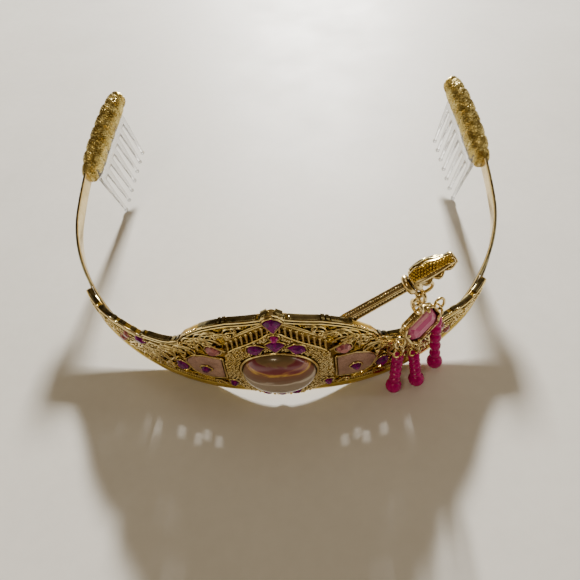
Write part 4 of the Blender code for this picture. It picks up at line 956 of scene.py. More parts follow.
def build_casting():
    """The pierced plate with its raised ribs and shield, and the floor behind the flutes."""
    slots = both(slot_outlines())
    arcs = [RIB_HALF_ARC * i / (RIB_STATIONS - 1) for i in range(RIB_STATIONS)]
    upper = [(s, rib_top_at(s) + RIB_MARGIN) for s in arcs]
    lower = [(s, shield_top_at(s) - RIB_MARGIN) for s in reversed(arcs)]
    ribs = both_sides(upper + lower)
    foot = PLATE_FRONT - SUNK
    shapes = Shapes()
    shapes.add(prism([plate_outline()] + both(GAPS) + slots, PLATE_BACK, PLATE_FRONT, PLATE_BEVEL))
    shapes.add(prism([ribs] + slots, foot, PLATE_FRONT + RIB_PROUD, RIB_BEVEL))
    shapes.add(prism([shield_outline(), gem_circle(BEZEL_INNER)], foot, SHIELD_FRONT, SHIELD_BEVEL))
    piece("crown_casting", shapes, GOLD_RECESS, ["crown"], degrees=35)
    floor = prism([ribs], PLATE_BACK, PLATE_FRONT - FLUTE_DEPTH)
    piece("flute_floor", Shapes().add(floor), GOLD_FLUTE, degrees=35)


# The barrels by the top stone: arc and radius, then their depths with shares of the radius
BARRELS = ((0.0030, 0.00085), (0.0047, 0.0007))
BARREL_DEPTHS = (0.0, 0.0003, 0.0012, 0.0022, 0.0034)
BARREL_SHARES = (0.55, 0.95, 1.0, 1.0, 0.9)
BARREL_RISE = 0.0002


def build_top_mount():
    """The block round the top stone, with two fluted barrels each side of it."""
    block = prism([grown(top_stone_outline(), TOP_MOUNT_MARGIN)], PLATE_BACK, TOP_MOUNT_FRONT, SHIELD_BEVEL)
    piece("top_mount", Shapes().add(block), GOLD_GRAINS, degrees=35)
    shapes = Shapes()
    middle = (PLATE_BACK + TOP_MOUNT_FRONT) / 2
    for s, width in BARRELS:
        top = top_edge_at(s) + BARREL_RISE
        line = [(s, top - depth, middle) for depth in BARREL_DEPTHS]
        shapes.add_both(tube(line, np.array(BARREL_SHARES) * width, 14))
    piece("top_barrels", shapes, GOLD_DARK_PAINTED_REFLECTION, degrees=50)


def inside(outline, x, y):
    """True where the point lies in the closed outline."""
    hit = False
    for (x0, y0), (x1, y1) in zip(outline, outline[1:] + outline[:1]):
        if (y0 > y) != (y1 > y) and x < (x1 - x0) * (y - y0) / (y1 - y0) + x0:
            hit = not hit
    return hit


STONES = stone_table()
GRAIN_PITCH = 0.00084
GRAIN_RADIUS = 0.00042
GRAIN_ROW = 0.87 * GRAIN_PITCH
GRAIN_JITTER = 0.3
GRAIN_SPREAD = (0.7, 1.15)


def blocked_outlines(margin):
    """Both sides' stones and panels, grown by a margin."""
    shapes = []
    for _, outline, _, _, paired in STONES:
        shapes.append(grown(outline, margin))
        if paired:
            shapes.append(mirror_outline(grown(outline, margin)))
    panel = grown(panel_outline(), margin)
    return shapes + [panel, mirror_outline(panel)]


def build_granules():
    """Fine granulation over the shield and on the top stone's mount."""
    draw = random.Random(11)
    shapes = Shapes()
    blocked = blocked_outlines(CLEARANCE + COLLAR_WALL + 0.6 * GRAIN_RADIUS)
    mount = grown(top_stone_outline(), TOP_MOUNT_MARGIN - 0.4 * GRAIN_RADIUS)
    shield = scaled(shield_outline(), 0.99)
    rows = int(CROWN_HEIGHT / GRAIN_ROW) + 6
    columns = int(SHIELD_HALF_ARC / GRAIN_PITCH) + 2
    for row in range(-4, rows):
        for column in range(-columns, columns + 1):
            s = (column + 0.5 * (row % 2)) * GRAIN_PITCH
            s += draw.uniform(-GRAIN_JITTER, GRAIN_JITTER) * GRAIN_PITCH
            v = row * GRAIN_ROW + draw.uniform(-GRAIN_JITTER, GRAIN_JITTER) * GRAIN_PITCH
            off_gem = math.hypot(s, v - GEM_CENTRE_V) > BEZEL_OUTER + GRAIN_RADIUS
            on_mount = inside(mount, s, v)
            if not (on_mount or (off_gem and inside(shield, s, v))):
                continue
            if any(inside(shape, s, v) for shape in blocked):
                continue
            out = TOP_MOUNT_FRONT if on_mount else SHIELD_FRONT
            shapes.add(ball((s, v, out), GRAIN_RADIUS * draw.uniform(*GRAIN_SPREAD)))
    piece("granulation", shapes, GOLD_GRAINS, degrees=180)


RIB_WIRE = 0.00042
RIB_BALL = 0.0005
RIB_CAP_WIRE = 0.0002
RIB_CAP_REACH = (0.32, 0.42)
SHOULDER_WIRE = 0.0003
ARCH_OUT = 0.0004
# The double arch over the ribs: height over them and wire radius
ARCH_WIRES = ((0.0009, 0.00038), (0.0017, 0.00026))
RIB_END_GAP = 0.0002


def build_ribs():
    """Upright half-round ribs between the slots, under a double arch."""
    shapes = Shapes()
    pitch = (RIB_HALF_ARC - MIDDLE_RIB_HALF_WIDTH) / SLOTS_PER_SIDE
    out = PLATE_FRONT + RIB_PROUD
    for i in range(SLOTS_PER_SIDE + 1):
        s = MIDDLE_RIB_HALF_WIDTH + pitch * i
        low = shield_top_at(s) + RIB_END_GAP
        high = rib_top_at(s) - RIB_END_GAP / 2
        line = [(s, low + (high - low) * k / 6, out) for k in range(7)]
        shapes.add_both(tube(line, RIB_WIRE, 8))
        shapes.add_both(ball((s, high, out + 0.0001), RIB_BALL))
        if i < SLOTS_PER_SIDE:
            middle = s + pitch / 2
            top = rib_top_at(middle) + RIB_END_GAP
            across, up = RIB_CAP_REACH
            cap = [(middle + pitch * across * math.cos(a), top + pitch * up * math.sin(a), out)
                   for a in np.linspace(0.0, math.pi, 7)]
            shapes.add_both(tube(cap, RIB_CAP_WIRE, 6))
    for lift, wire in ARCH_WIRES:
        arcs = np.linspace(-RIB_HALF_ARC, RIB_HALF_ARC, 81)
        shapes.add(tube([(s, rib_top_at(s) + lift, PLATE_FRONT + ARCH_OUT) for s in arcs], wire, 8))
    edge = np.linspace(-RIB_HALF_ARC, RIB_HALF_ARC, 61)
    shapes.add(tube([(s, shield_top_at(s) + RIB_END_GAP, SHIELD_FRONT) for s in edge], SHOULDER_WIRE, 8))
    piece("ribs", shapes, GOLD_WIRE, degrees=60)


# Bars on the upper edge, right half: from and to as shares of the half arc, and rise over the edge
EDGE_BARS = (
    (0.016, 0.040, 0.0009), (0.056, 0.168, 0.0000), (0.172, 0.186, 0.0005), (0.190, 0.203, 0.0005),
    (0.208, 0.288, 0.0001), (0.390, 0.404, 0.0005), (0.410, 0.426, 0.0004), (0.434, 0.556, 0.0002),
    (0.574, 0.600, 0.0004), (0.628, 0.650, 0.0003), (0.690, 0.726, 0.0001), (0.752, 0.776, 0.0004),
    (0.784, 0.886, 0.0000), (0.912, 0.992, 0.0003),
)
KNURLS = ((0.292, 0.345), (0.602, 0.690), (0.728, 0.790), (0.886, 0.912))
KNURL_STEP = 0.0095
KNURL_RADIUS = 0.00045
EDGE_WIRE = 0.0003
BAR_FOOT_SHARE = 0.30
BAR_BEVEL = 0.0003


def build_edge():
    """Thick polished bars along the upper edge, with small blocks and knurls between them."""
    shapes = Shapes()
    front = EDGE_FRONT - 0.0002
    for start, end, rise in EDGE_BARS:
        arcs = np.linspace(start, end, max(2, int((end - start) / 0.02))) * CROWN_HALF_ARC
        outer = [(s, top_edge_at(s) + rise + EDGE_OVERHANG) for s in arcs]
        inner = [(s, top_edge_at(s) - BAR_FOOT_SHARE * EDGE_WIDTH) for s in reversed(arcs)]
        shapes.add_both(prism([outer + inner], PLATE_BACK - 0.0001, front, BAR_BEVEL))
    piece("edge_bars", shapes, GOLD_DARK_PAINTED_REFLECTION, degrees=35)
    shapes = Shapes()
    arcs = np.linspace(0.0, 0.998, 200) * CROWN_HALF_ARC
    wires = ((0.22 * EDGE_WIDTH, EDGE_FRONT), (EDGE_WIDTH, EDGE_FRONT), (0.0002, PLATE_BACK + 0.0003))
    for drop, out in wires:
        shapes.add_both(tube([(s, top_edge_at(s) - drop, out) for s in arcs], EDGE_WIRE, 6))
    body = [(s, top_edge_at(s)) for s in np.linspace(0.0, 0.995, 90) * CROWN_HALF_ARC]
    outline = [(s, v - EDGE_WIRE) for s, v in body] + [(s, v - EDGE_WIDTH) for s, v in reversed(body)]
    shapes.add_both(prism([outline], PLATE_BACK, front, 0.0001))
    for start, end in KNURLS:
        for s in np.arange(start, end, KNURL_STEP) * CROWN_HALF_ARC:
            shapes.add_both(ball((s, top_edge_at(s) - EDGE_WIRE, EDGE_FRONT), KNURL_RADIUS))
    piece("edge_trim", shapes, GOLD_WIRE, degrees=50)


# The rail's section: height and distance out of the plate's front, before its flat back
RIM_SECTION = ((-0.00005, 0.0), (0.0005, 0.0005), (0.0016, 0.0009), (0.0028, 0.0009), (0.0036, 0.0005),
               (BORDER_HEIGHT, -0.0001))
RIM_OUT = PLATE_FRONT + 0.0002
RIM_BEADS = 86
RIM_BEAD_PITCH = 0.00082
RIM_BEAD_RADIUS = 0.0004
RIM_WIRE = 0.00024


def build_rim():
    """The smooth half-round rail along the foot, with a row of beads and a wire over it."""
    reach = BORDER_REACH * CROWN_HALF_ARC
    section = [(0.0, PLATE_BACK)] + [(v, PLATE_FRONT + out) for v, out in RIM_SECTION]
    section.append((BORDER_HEIGHT, PLATE_BACK))
    rings = []
    for s in np.linspace(-1.0, 1.0, 161):
        taper = min(1.0, (1.0 - abs(s)) * 6 + 0.35)
        rings.append([(s * reach, v * taper, PLATE_BACK + (out - PLATE_BACK) * (0.6 + 0.4 * taper))
                      for v, out in section])
    piece("rim_rail", Shapes().add(loft(rings)), GOLD_RIM, degrees=50)
    shapes = Shapes()
    for i in range(-RIM_BEADS, RIM_BEADS + 1):
        s = i * RIM_BEAD_PITCH
        if abs(s) > SHIELD_HALF_ARC * 0.75:
            shapes.add(ball((s, BORDER_HEIGHT + RIM_BEAD_RADIUS, RIM_OUT), RIM_BEAD_RADIUS, GRAIN))
    arcs = np.linspace(0.2, 0.94, 100) * CROWN_HALF_ARC
    shapes.add_both(tube([(s, BORDER_HEIGHT + 0.0010, RIM_OUT) for s in arcs], RIM_WIRE, 6))
    piece("rim_beads", shapes, GOLD_WIRE, degrees=180)


def flourish(x, y, heading, length, curl, wind, out):
    """A wire whose curl tightens along its length, as in a hand-bent scroll."""
    line = []
    step = length / SCROLL_STEPS
    for i in range(SCROLL_STEPS + 1):
        line.append((x, y, out))
        heading += (curl + (wind - curl) * (i / SCROLL_STEPS) ** 1.5) * step
        x += step * math.cos(heading)
        y += step * math.sin(heading)
    return line


def free(x, y, blocked, shield):
    """True where the plate is open to wires: off the shield, the stones, the ribs and the rim."""
    if y < BORDER_HEIGHT + 0.0006 or y > top_edge_at(x) - EDGE_WIDTH or abs(x) > 0.97 * CROWN_HALF_ARC:
        return False
    if inside(shield, x, y) or (abs(x) < RIB_HALF_ARC and y < rib_top_at(x) + 0.0018):
        return False
    return not any(inside(shape, x, y) for shape in blocked)


# Layers of scrolls: spacing, shortest and longest, thickness and height over the plate
SCROLL_LAYERS = (
    ("under_wires", GOLD_UNDER, 0.0019, 0.0045, 0.0080, 0.00028, 0.0001),
    ("ribbons", GOLD_WIRE, 0.0030, 0.0100, 0.0190, 0.00046, 0.0006),
)
SCROLL_TRIES = 14
SCROLL_STEPS = 22
SCROLL_BALL = (0.00045, 0.00075)
# Larger balls among the scrolls: shares of the half arc and of the height
LARGE_BALLS = ((0.295, 0.69), (0.165, 0.79), (0.45, 0.40), (0.52, 0.27), (0.38, 0.58), (0.63, 0.17))
LARGE_BALL_RADIUS = 0.00095
LARGE_BALL_OUT = 0.0007


def build_scrolls():
    """Fine wires under broad curling ribbons, with balls where the ribbons curl up."""
    draw = random.Random(5)
    blocked = [grown(outline, 0.0010) for _, outline, _, _, _ in STONES] + [grown(panel_outline(), 0.0009)]
    shield = scaled(shield_outline(), 1.03)
    balls = Shapes()
    for name, material, pitch, shortest, longest, thickness, height in SCROLL_LAYERS:
        shapes = Shapes()
        cells = [(row, column) for row in range(int(CROWN_HEIGHT / pitch))
                 for column in range(int(CROWN_HALF_ARC / pitch))]
        for row, column in cells:
            s = (column + draw.random()) * pitch
            v = (row + draw.random()) * pitch
            if not free(s, v, blocked, shield):
                continue
            for attempt in range(SCROLL_TRIES):
                heading = draw.uniform(-0.10, 0.75) * math.pi
                side = draw.choice((-1.0, 1.0))
                length = draw.uniform(shortest, longest) * (1.0 - 0.05 * attempt)
                curl = draw.uniform(0.0, 0.8) / length
                wind = draw.uniform(7.0, 11.0) / length
                out = PLATE_FRONT + height + draw.uniform(0.0, 0.0002)
                line = flourish(s, v, heading, length, side * curl, side * wind, out)
                if all(free(x, y, blocked, shield) for x, y, _ in line[::2]):
                    taper = np.linspace(1.0, 0.62, len(line))
                    shapes.add_both(tube(line, draw.uniform(0.85, 1.1) * thickness * taper, 6))
                    if name == "ribbons":
                        x, y, out = line[-1]
                        balls.add_both(ball((x, y, out + 0.0001), draw.uniform(*SCROLL_BALL)))
                    break
        piece(name, shapes, material, degrees=60)
    for shares in LARGE_BALLS:
        balls.add_both(ball((*crown_place(shares), PLATE_FRONT + LARGE_BALL_OUT), LARGE_BALL_RADIUS))
    piece("scroll_balls", balls, GOLD_WIRE, degrees=180)


LEAF_WIRE = 0.00024
LEAF_WIRE_OUT = 0.0002


def build_leaf_rims():
    """A fine wire round each pierced gap."""
    shapes = Shapes()
    for outline in GAPS:
        line = closed_line(grown(outline, LEAF_WIRE_OUT), PLATE_FRONT + LEAF_WIRE_OUT)
        shapes.add_both(tube(line, LEAF_WIRE, 6, closed=True))
    piece("leaf_rims", shapes, GOLD_UNDER, degrees=60)


# The wing's long wires: from and to as shares of the half arc, then of the height there
VEINS = ((0.40, 0.95, 0.30, 0.16), (0.40, 0.93, 0.55, 0.36), (0.42, 0.90, 0.78, 0.60),
         (0.44, 0.86, 0.93, 0.86))
VEIN_STATIONS = 150
VEIN_WIRE = 0.00026
VEIN_TWIST_UP = 0.00030
VEIN_TWIST_OUT = 0.00022
VEIN_OUT = 0.0006
STATIONS_PER_TWIST = 7


def build_veins():
    """Long wires, twisted in pairs, that run out along the wing."""
    shapes = Shapes()
    for start, end, low, high in VEINS:
        for phase in (0.0, math.pi):
            line = []
            for i in range(VEIN_STATIONS):
                share = i / (VEIN_STATIONS - 1)
                s = (start + (end - start) * share) * CROWN_HALF_ARC
                room = top_edge_at(s) - EDGE_WIDTH - BORDER_HEIGHT
                level = low + (high - low) * share
                v = BORDER_HEIGHT + room * (level + 0.04 * math.sin(7 * share + 9 * level))
                turn = phase + 2 * math.pi * i / STATIONS_PER_TWIST
                line.append((s, v + VEIN_TWIST_UP * math.cos(turn),
                             PLATE_FRONT + VEIN_OUT + VEIN_TWIST_OUT * math.sin(turn)))
            shapes.add_both(tube(line, VEIN_WIRE, 5))
    piece("twisted_veins", shapes, GOLD_WIRE, degrees=60)


COLLAR_WIRE = 0.00030
PANEL_WIRE = 0.00034
BEZEL_WIRE = 0.00042
BEZEL_RISE = 0.0005
BEZEL_SIDES = 120


def build_collars():
    """Bright wire collars round the stones, the panels and the dome."""
    shapes = Shapes()
    for _, outline, seat, _, paired in STONES:
        line = closed_line(grown(outline, CLEARANCE + 0.0002), seat + COLLAR_WIRE)
        add = shapes.add_both if paired else shapes.add
        add(tube(line, COLLAR_WIRE, 8, closed=True))
    panel = closed_line(grown(panel_outline(), CLEARANCE + 0.0003), PLATE_FRONT + 0.0004, 90)
    shapes.add_both(tube(panel, PANEL_WIRE, 8, closed=True))
    circle = [(BEZEL_INNER + COLLAR_WALL * 0.6) * np.array((math.cos(a), math.sin(a)))
              for a in np.linspace(0.0, 2 * math.pi, BEZEL_SIDES, endpoint=False)]
    foot, rim = ([(x, y + GEM_CENTRE_V, out) for x, y in circle]
                 for out in (PLATE_FRONT, SHIELD_FRONT + BEZEL_RISE))
    shapes.add(tube(rim, BEZEL_WIRE, 8, closed=True))
    shapes.add(loft([foot, rim], capped=False))
    piece("collars", shapes, GOLD_WIRE, degrees=60)


DOME_SIDES = 72
DOME_RINGS = 18
DOME_GIRDLE = 0.0012
DOME_FOOT_SHARE = 0.98


def build_dome():
    """A low girdle under a round dome."""
    seat = PLATE_FRONT + CLEARANCE
    levels = [(DOME_FOOT_SHARE * GEM_RADIUS, seat)]
    for k in range(DOME_RINGS):
        turn = math.pi / 2 * k / DOME_RINGS
        height = DOME_GIRDLE + (GEM_DOME - DOME_GIRDLE) * math.sin(turn)
        levels.append((GEM_RADIUS * math.cos(turn) ** 0.8, seat + height))
    angles = [2 * math.pi * k / DOME_SIDES for k in range(DOME_SIDES)]
    rings = [[(radius * math.cos(a), GEM_CENTRE_V + radius * math.sin(a), out) for a in angles]
             for radius, out in levels]
    piece("dome", Shapes().add(loft(rings)), dome_material(), ["main_cabochon"], degrees=50)


STONE_SHOULDER = 0.86
SHOULDER_RISE = 0.45
CUT_HEIGHT = 1.15 * STONE_HEIGHT


def faceted(outline, seat):
    """A cut stone: girdle, two tiers of three-sided facets and a table."""
    points = np.array(outline)
    centre = points.mean(axis=0)
    between = (points + np.roll(points, -1, axis=0)) / 2
    count = len(points)
    shoulder = centre + (between - centre) * STONE_SHOULDER
    table = centre + (points - centre) * STONE_TABLE
    levels = (0.0, STONE_GIRDLE, STONE_GIRDLE + (CUT_HEIGHT - STONE_GIRDLE) * SHOULDER_RISE, CUT_HEIGHT)
    flat = np.concatenate([np.column_stack([row, np.full(count, seat + level)])
                           for row, level in zip((points, points, shoulder, table), levels)])
    faces = [tuple(reversed(range(count))), tuple(range(3 * count, 4 * count))]
    for k in range(count):
        m = (k + 1) % count
        faces.append((k, m, count + m, count + k))
        faces.append((count + k, count + m, 2 * count + k))
        faces.append((2 * count + k, count + m, 2 * count + m))
        faces.append((3 * count + k, 2 * count + k, 3 * count + m))
        faces.append((3 * count + m, 2 * count + k, 2 * count + m))
    return flat, faces


STONE_LOOKS = {"purple": PURPLE, "pink": PINK, "magenta": BRIGHT}


def build_stones():
    for name, outline, surface_out, kind, paired in STONES:
        stone = faceted(outline, surface_out + CLEARANCE)
        for prefix in ("right_", "left_") if paired else ("",):
            shapes = Shapes().add(mirrored(stone) if prefix == "left_" else stone)
            node = prefix + name
            piece(node + "_cut", shapes, STONE_LOOKS[kind], [node], degrees=8)


def build_panels():
    seat = PLATE_FRONT + CLEARANCE
    for prefix, outline in (("left", mirror_outline(panel_outline())), ("right", panel_outline())):
        enamel = prism([outline], seat, seat + PANEL_THICKNESS, 0.0001, 0.001)
        piece(prefix + "_enamel", Shapes().add(enamel), ENAMEL, [prefix + "_panel"],
              degrees=35)


# Headband, wraps and combs

STRIP_SIDES = 16
BAND_EDGE_WIRE = 0.00042
BAND_EDGE_INSET = 0.0004


def build_headband():
    """The flat strip with rounded edges, and a wire along each edge where it is bare."""
    half = STRIP_THICKNESS / 2
    rings = []
    for s in np.linspace(-BAND_HALF_LENGTH + BAND_END_INSET, BAND_HALF_LENGTH - BAND_END_INSET, 321):
        section = []
        for k in range(STRIP_SIDES):
            angle = 2 * math.pi * k / STRIP_SIDES
            across = math.copysign(abs(math.cos(angle)) ** 0.35, math.cos(angle))
            up = math.copysign(abs(math.sin(angle)) ** 0.6, math.sin(angle))
            section.append((s, STRIP_HEIGHT / 2 * (1 + up), -half + half * across))
        rings.append(section)
    piece("band_strip", Shapes().add(loft(rings)), PALE_GOLD, ["headband"], degrees=50)
    shapes = Shapes()
    arcs = np.linspace(CROWN_HALF_ARC, BAND_HALF_LENGTH - 0.002, 160)
    for v in (BAND_EDGE_INSET, STRIP_HEIGHT - BAND_EDGE_INSET):
        shapes.add_both(tube([(s, v, 0.0) for s in arcs], BAND_EDGE_WIRE, 6))
    piece("band_edges", shapes, GOLD_DARK_PAINTED_REFLECTION, degrees=60)


WRAP_START = float(np.interp(WRAP_FRONT_Y, PATH_Y, PATH_ARC))
WRAP_LENGTH = BAND_HALF_LENGTH + WRAP_PAST_END - WRAP_START
# The wrap's neck at its front and rear end, and how far in it widens, as shares
FRONT_NECK = (0.58, 0.20)
REAR_NECK = (0.68, 0.22)
CREASE_DEPTH = 1.1 * WRAP_BULGE
CORE_RADIUS_OUT = 0.94 * WRAP_RADIUS_OUT
CORE_RADIUS_UP = 0.96 * WRAP_RADIUS_UP


def wrap_section(share, angle, extra=0.0):
    """A point of the braid's surface, from its share along and the angle round."""
    neck, reach = FRONT_NECK if share < 0.5 else REAR_NECK
    swell = neck + (1.0 - neck) * min(min(share, 1.0 - share) / reach, 1.0) ** 0.6
    crease = CREASE_DEPTH * abs(math.cos(math.pi * WRAP_TURNS * share + 0.5 * angle)) ** 10
    out_by = (CORE_RADIUS_OUT * swell - crease + extra) * math.cos(angle)
    up_by = (CORE_RADIUS_UP * swell - crease + extra) * math.sin(angle)
    return (WRAP_START + WRAP_LENGTH * share, RIM_BELOW_CENTRE + up_by,
            out_by - STRIP_THICKNESS / 2 - WRAP_INSET)


CORE_SIDES = 28
CORE_STEPS = 150
STRANDS = 15
STRAND_TURNS = 4.5
STRAND_STATIONS = 180
THREAD_WIRE = 0.00036
THREAD_OUT = 0.00012
THREAD_WEAVE = 0.00015


def build_wraps():
    """Metallic braid: threads that cross over and under each other round a creased core."""
    angles = [2 * math.pi * k / CORE_SIDES for k in range(CORE_SIDES)]
    parts = [loft([[wrap_section(i / CORE_STEPS, a) for a in angles] for i in range(CORE_STEPS + 1)])]
    for direction in (1, -1):
        for strand in range(STRANDS):
            line = []
            for i in range(STRAND_STATIONS):
                share = 0.004 + 0.992 * i / (STRAND_STATIONS - 1)
                turn = 2 * math.pi * STRAND_TURNS * share
                angle = 2 * math.pi * strand / STRANDS + direction * turn
                weave = math.cos(STRANDS * turn + direction * strand * math.pi)
                line.append(wrap_section(share, angle, THREAD_OUT + THREAD_WEAVE * direction * weave))
            parts.append(tube(line, THREAD_WIRE, 5))
    for prefix in ("right", "left"):
        shapes = Shapes()
        for part in parts:
            shapes.add(part if prefix == "right" else mirrored(part))
        piece(prefix + "_braid", shapes, BRAID, [prefix + "_wrap"], degrees=60)


def comb_matrix():
    """From the flat comb, x along the back and y down, to its place on the right side."""
    origin = comb_point(0.0, 0.0)
    width = (TEETH - 1) * TOOTH_PITCH
    along = (comb_point(1.0, 0.0) - origin) / width
    down = (comb_point(0.0, COMB_REACH) - origin) / COMB_REACH
    across = along.cross(down)
    matrix = Matrix((along, down, across)).transposed().to_4x4()
    matrix.translation = origin
    return matrix


def comb_outline():
    """Round-tipped teeth under a plain spine, seen square on."""
    half_root = TOOTH_ROOT / 2
    half_tip = TOOTH_TIP / 2
    tip = COMB_REACH - TOOTH_POINT
    shoulder = COMB_SPINE_BOTTOM + TOOTH_SHOULDER
    points = [(-half_root, -COMB_SPINE_TOP)]
    for i in range(TEETH):
        x = i * TOOTH_PITCH
        points += [(x - half_root, COMB_SPINE_BOTTOM), (x - half_root * 0.85, shoulder), (x - half_tip, tip)]
        points += [(x + half_tip * math.cos(a), tip + TOOTH_POINT * math.sin(a))
                   for a in np.linspace(math.pi, 0.0, 7)[1:-1]]
        points += [(x + half_tip, tip), (x + half_root * 0.85, shoulder), (x + half_root, COMB_SPINE_BOTTOM)]
    points.append(((TEETH - 1) * TOOTH_PITCH + half_root, -COMB_SPINE_TOP))
    return points


TOOTH_TIP_BALL = 0.0009
TOOTH_THINNING = 0.45
COMB_BEVEL = 0.00045


def build_combs():
    """Both combs, with teeth that thin towards small round tips."""
    half = COMB_THICKNESS / 2
    points, faces = prism([comb_outline()], -half, half, COMB_BEVEL, 0.0)
    thin = np.clip((points[:, 1] - COMB_SPINE_BOTTOM) / (COMB_REACH - COMB_SPINE_BOTTOM), 0.0, 1.0)
    points[:, 2] *= 1.0 - TOOTH_THINNING * thin
    shapes = Shapes().add((points, faces))
    for i in range(TEETH):
        shapes.add(ball((i * TOOTH_PITCH, COMB_REACH - TOOTH_TIP_BALL, 0.0), TOOTH_TIP_BALL))
    comb = placed(np.concatenate(shapes.points), comb_matrix()), shapes.faces
    for prefix, shape in (("right", comb), ("left", mirrored(comb))):
        piece(prefix + "_clear_comb", Shapes().add(shape), COMB_PLASTIC,
              [prefix + "_comb"], flat=False, degrees=50)


# Side arm and pendant

def arm_matrix():
    """The arm's own frame: x along it, y up across it in the face, z out of the face."""
    along, up, out = face_axes(ARM_START_S)
    direction = along * math.cos(ARM_RISE) + up * math.sin(ARM_RISE)
    across = out.cross(direction)
    matrix = Matrix((direction, across, out)).transposed().to_4x4()
    start = Vector(on_face([(ARM_START_S, ARM_START_V, 0.0)])[0])
    matrix.translation = start - out * (ARM_THICKNESS / 2)
    return matrix


def arm_eye_place():
    """The middle of the eye under the collar, in the arm's own frame."""
    return Vector((ARM_LENGTH + ARM_COLLAR_SPACING, -(ARM_COLLAR_RADIUS + BAIL_WIRE + ARM_EYE_RADIUS), 0.0))


def arm_width(x):
    share = min(max(x / ARM_LENGTH, 0.0), 1.0)
    return ARM_WIDTH_START + (ARM_WIDTH_END - ARM_WIDTH_START) * share


LEAF_SCALLOP = 12
LEAF_LOBES = 3
LEAF_START = -90
LEAF_SPAN = 230


def head_point(share, turn, radius_by=1.0):
    """A point of the open leaf, from its share along and its share round."""
    swell = 0.75 + 0.45 * math.sin(math.pi * min(share + 0.15, 1.0)) - 0.1 * share
    radius = HEAD_RADIUS * swell * radius_by
    scallop = LEAF_SCALLOP * math.cos(2 * math.pi * LEAF_LOBES * share)
    angle = math.radians(LEAF_START + scallop + (LEAF_SPAN - scallop) * turn)
    return (ARM_LENGTH + ARM_COLLAR_SPACING + HEAD_LENGTH * share, radius * math.sin(angle),
            -radius * math.cos(angle) * 0.8)


# The arm's section, as shares of its width and thickness
ARM_SECTION = ((-0.5, -0.5), (-0.5, 0.34), (-0.40, 0.5), (-0.26, 0.5), (-0.18, 0.28), (0.18, 0.28),
               (0.26, 0.5), (0.40, 0.5), (0.5, 0.34), (0.5, -0.5))
# Wires along the arm: shares of its width and thickness, and wire radius
ARM_WIRES = ((-0.33, 0.5, 0.00032), (0.33, 0.5, 0.00032), (0.5, -0.38, 0.00028), (0.5, 0.42, 0.00028))
# Rows of beads along the arm: shares of its width and thickness, pitch and radius
ARM_BEADS = ((0.0, 0.32, 0.00085, 0.00040), (0.49, 0.0, 0.00075, 0.00036))
# Rings round the arm's end: place in collar spacings, then shares of the collar's radius and wire
ARM_COLLARS = ((-0.25, 0.86, 0.45), (0.0, 1.0, 0.85), (1.0, 1.0, 0.85), (1.3, 0.86, 0.45))
LEAF_STATIONS = 30
LEAF_STEPS = 36
LEAF_TURNS = 20
LEAF_WALL_SHARE = HEAD_WALL / HEAD_RADIUS / 2
LEAF_OUTER = 1.0 + LEAF_WALL_SHARE
LEAF_INNER = 1.0 - LEAF_WALL_SHARE


def arm_bar():
    """The ridged and beaded bar with its collars and eye."""
    shapes = Shapes()
    rings = []
    for x in np.linspace(-ARM_TAB, ARM_LENGTH + 2 * ARM_COLLAR_SPACING, 24):
        width = arm_width(x)
        rings.append([(x, y * width, z * ARM_THICKNESS) for y, z in reversed(ARM_SECTION)])
    shapes.add(loft(rings))
    for y_share, z_share, wire in ARM_WIRES:
        line = [(x, y_share * arm_width(x), z_share * ARM_THICKNESS)
                for x in np.linspace(-0.001, ARM_LENGTH, 20)]
        shapes.add(tube(line, wire, 8))
    for y_share, z_share, pitch, radius in ARM_BEADS:
        for x in np.arange(0.0, ARM_LENGTH, pitch):
            shapes.add(ball((x, y_share * arm_width(x), z_share * ARM_THICKNESS), radius))
    for place, radius_share, wire_share in ARM_COLLARS:
        centre = (ARM_LENGTH + ARM_COLLAR_SPACING * place, 0.0, 0.0)
        shapes.add(ring(ARM_COLLAR_RADIUS * radius_share, ARM_COLLAR_WIRE * wire_share, centre,
                        (1.0, 0.0, 0.0), 36))
    core = [[(x, ARM_CORE_RADIUS * math.cos(a), ARM_CORE_RADIUS * math.sin(a))
             for a in np.linspace(0.0, 2 * math.pi, 20, endpoint=False)]
            for x in (ARM_LENGTH - 0.0008, ARM_LENGTH + 2 * ARM_COLLAR_SPACING)]
    shapes.add(loft(core))
    shapes.add(ring(ARM_EYE_RADIUS, BAIL_WIRE, arm_eye_place(), (0.0, 0.0, 1.0)))
    return shapes


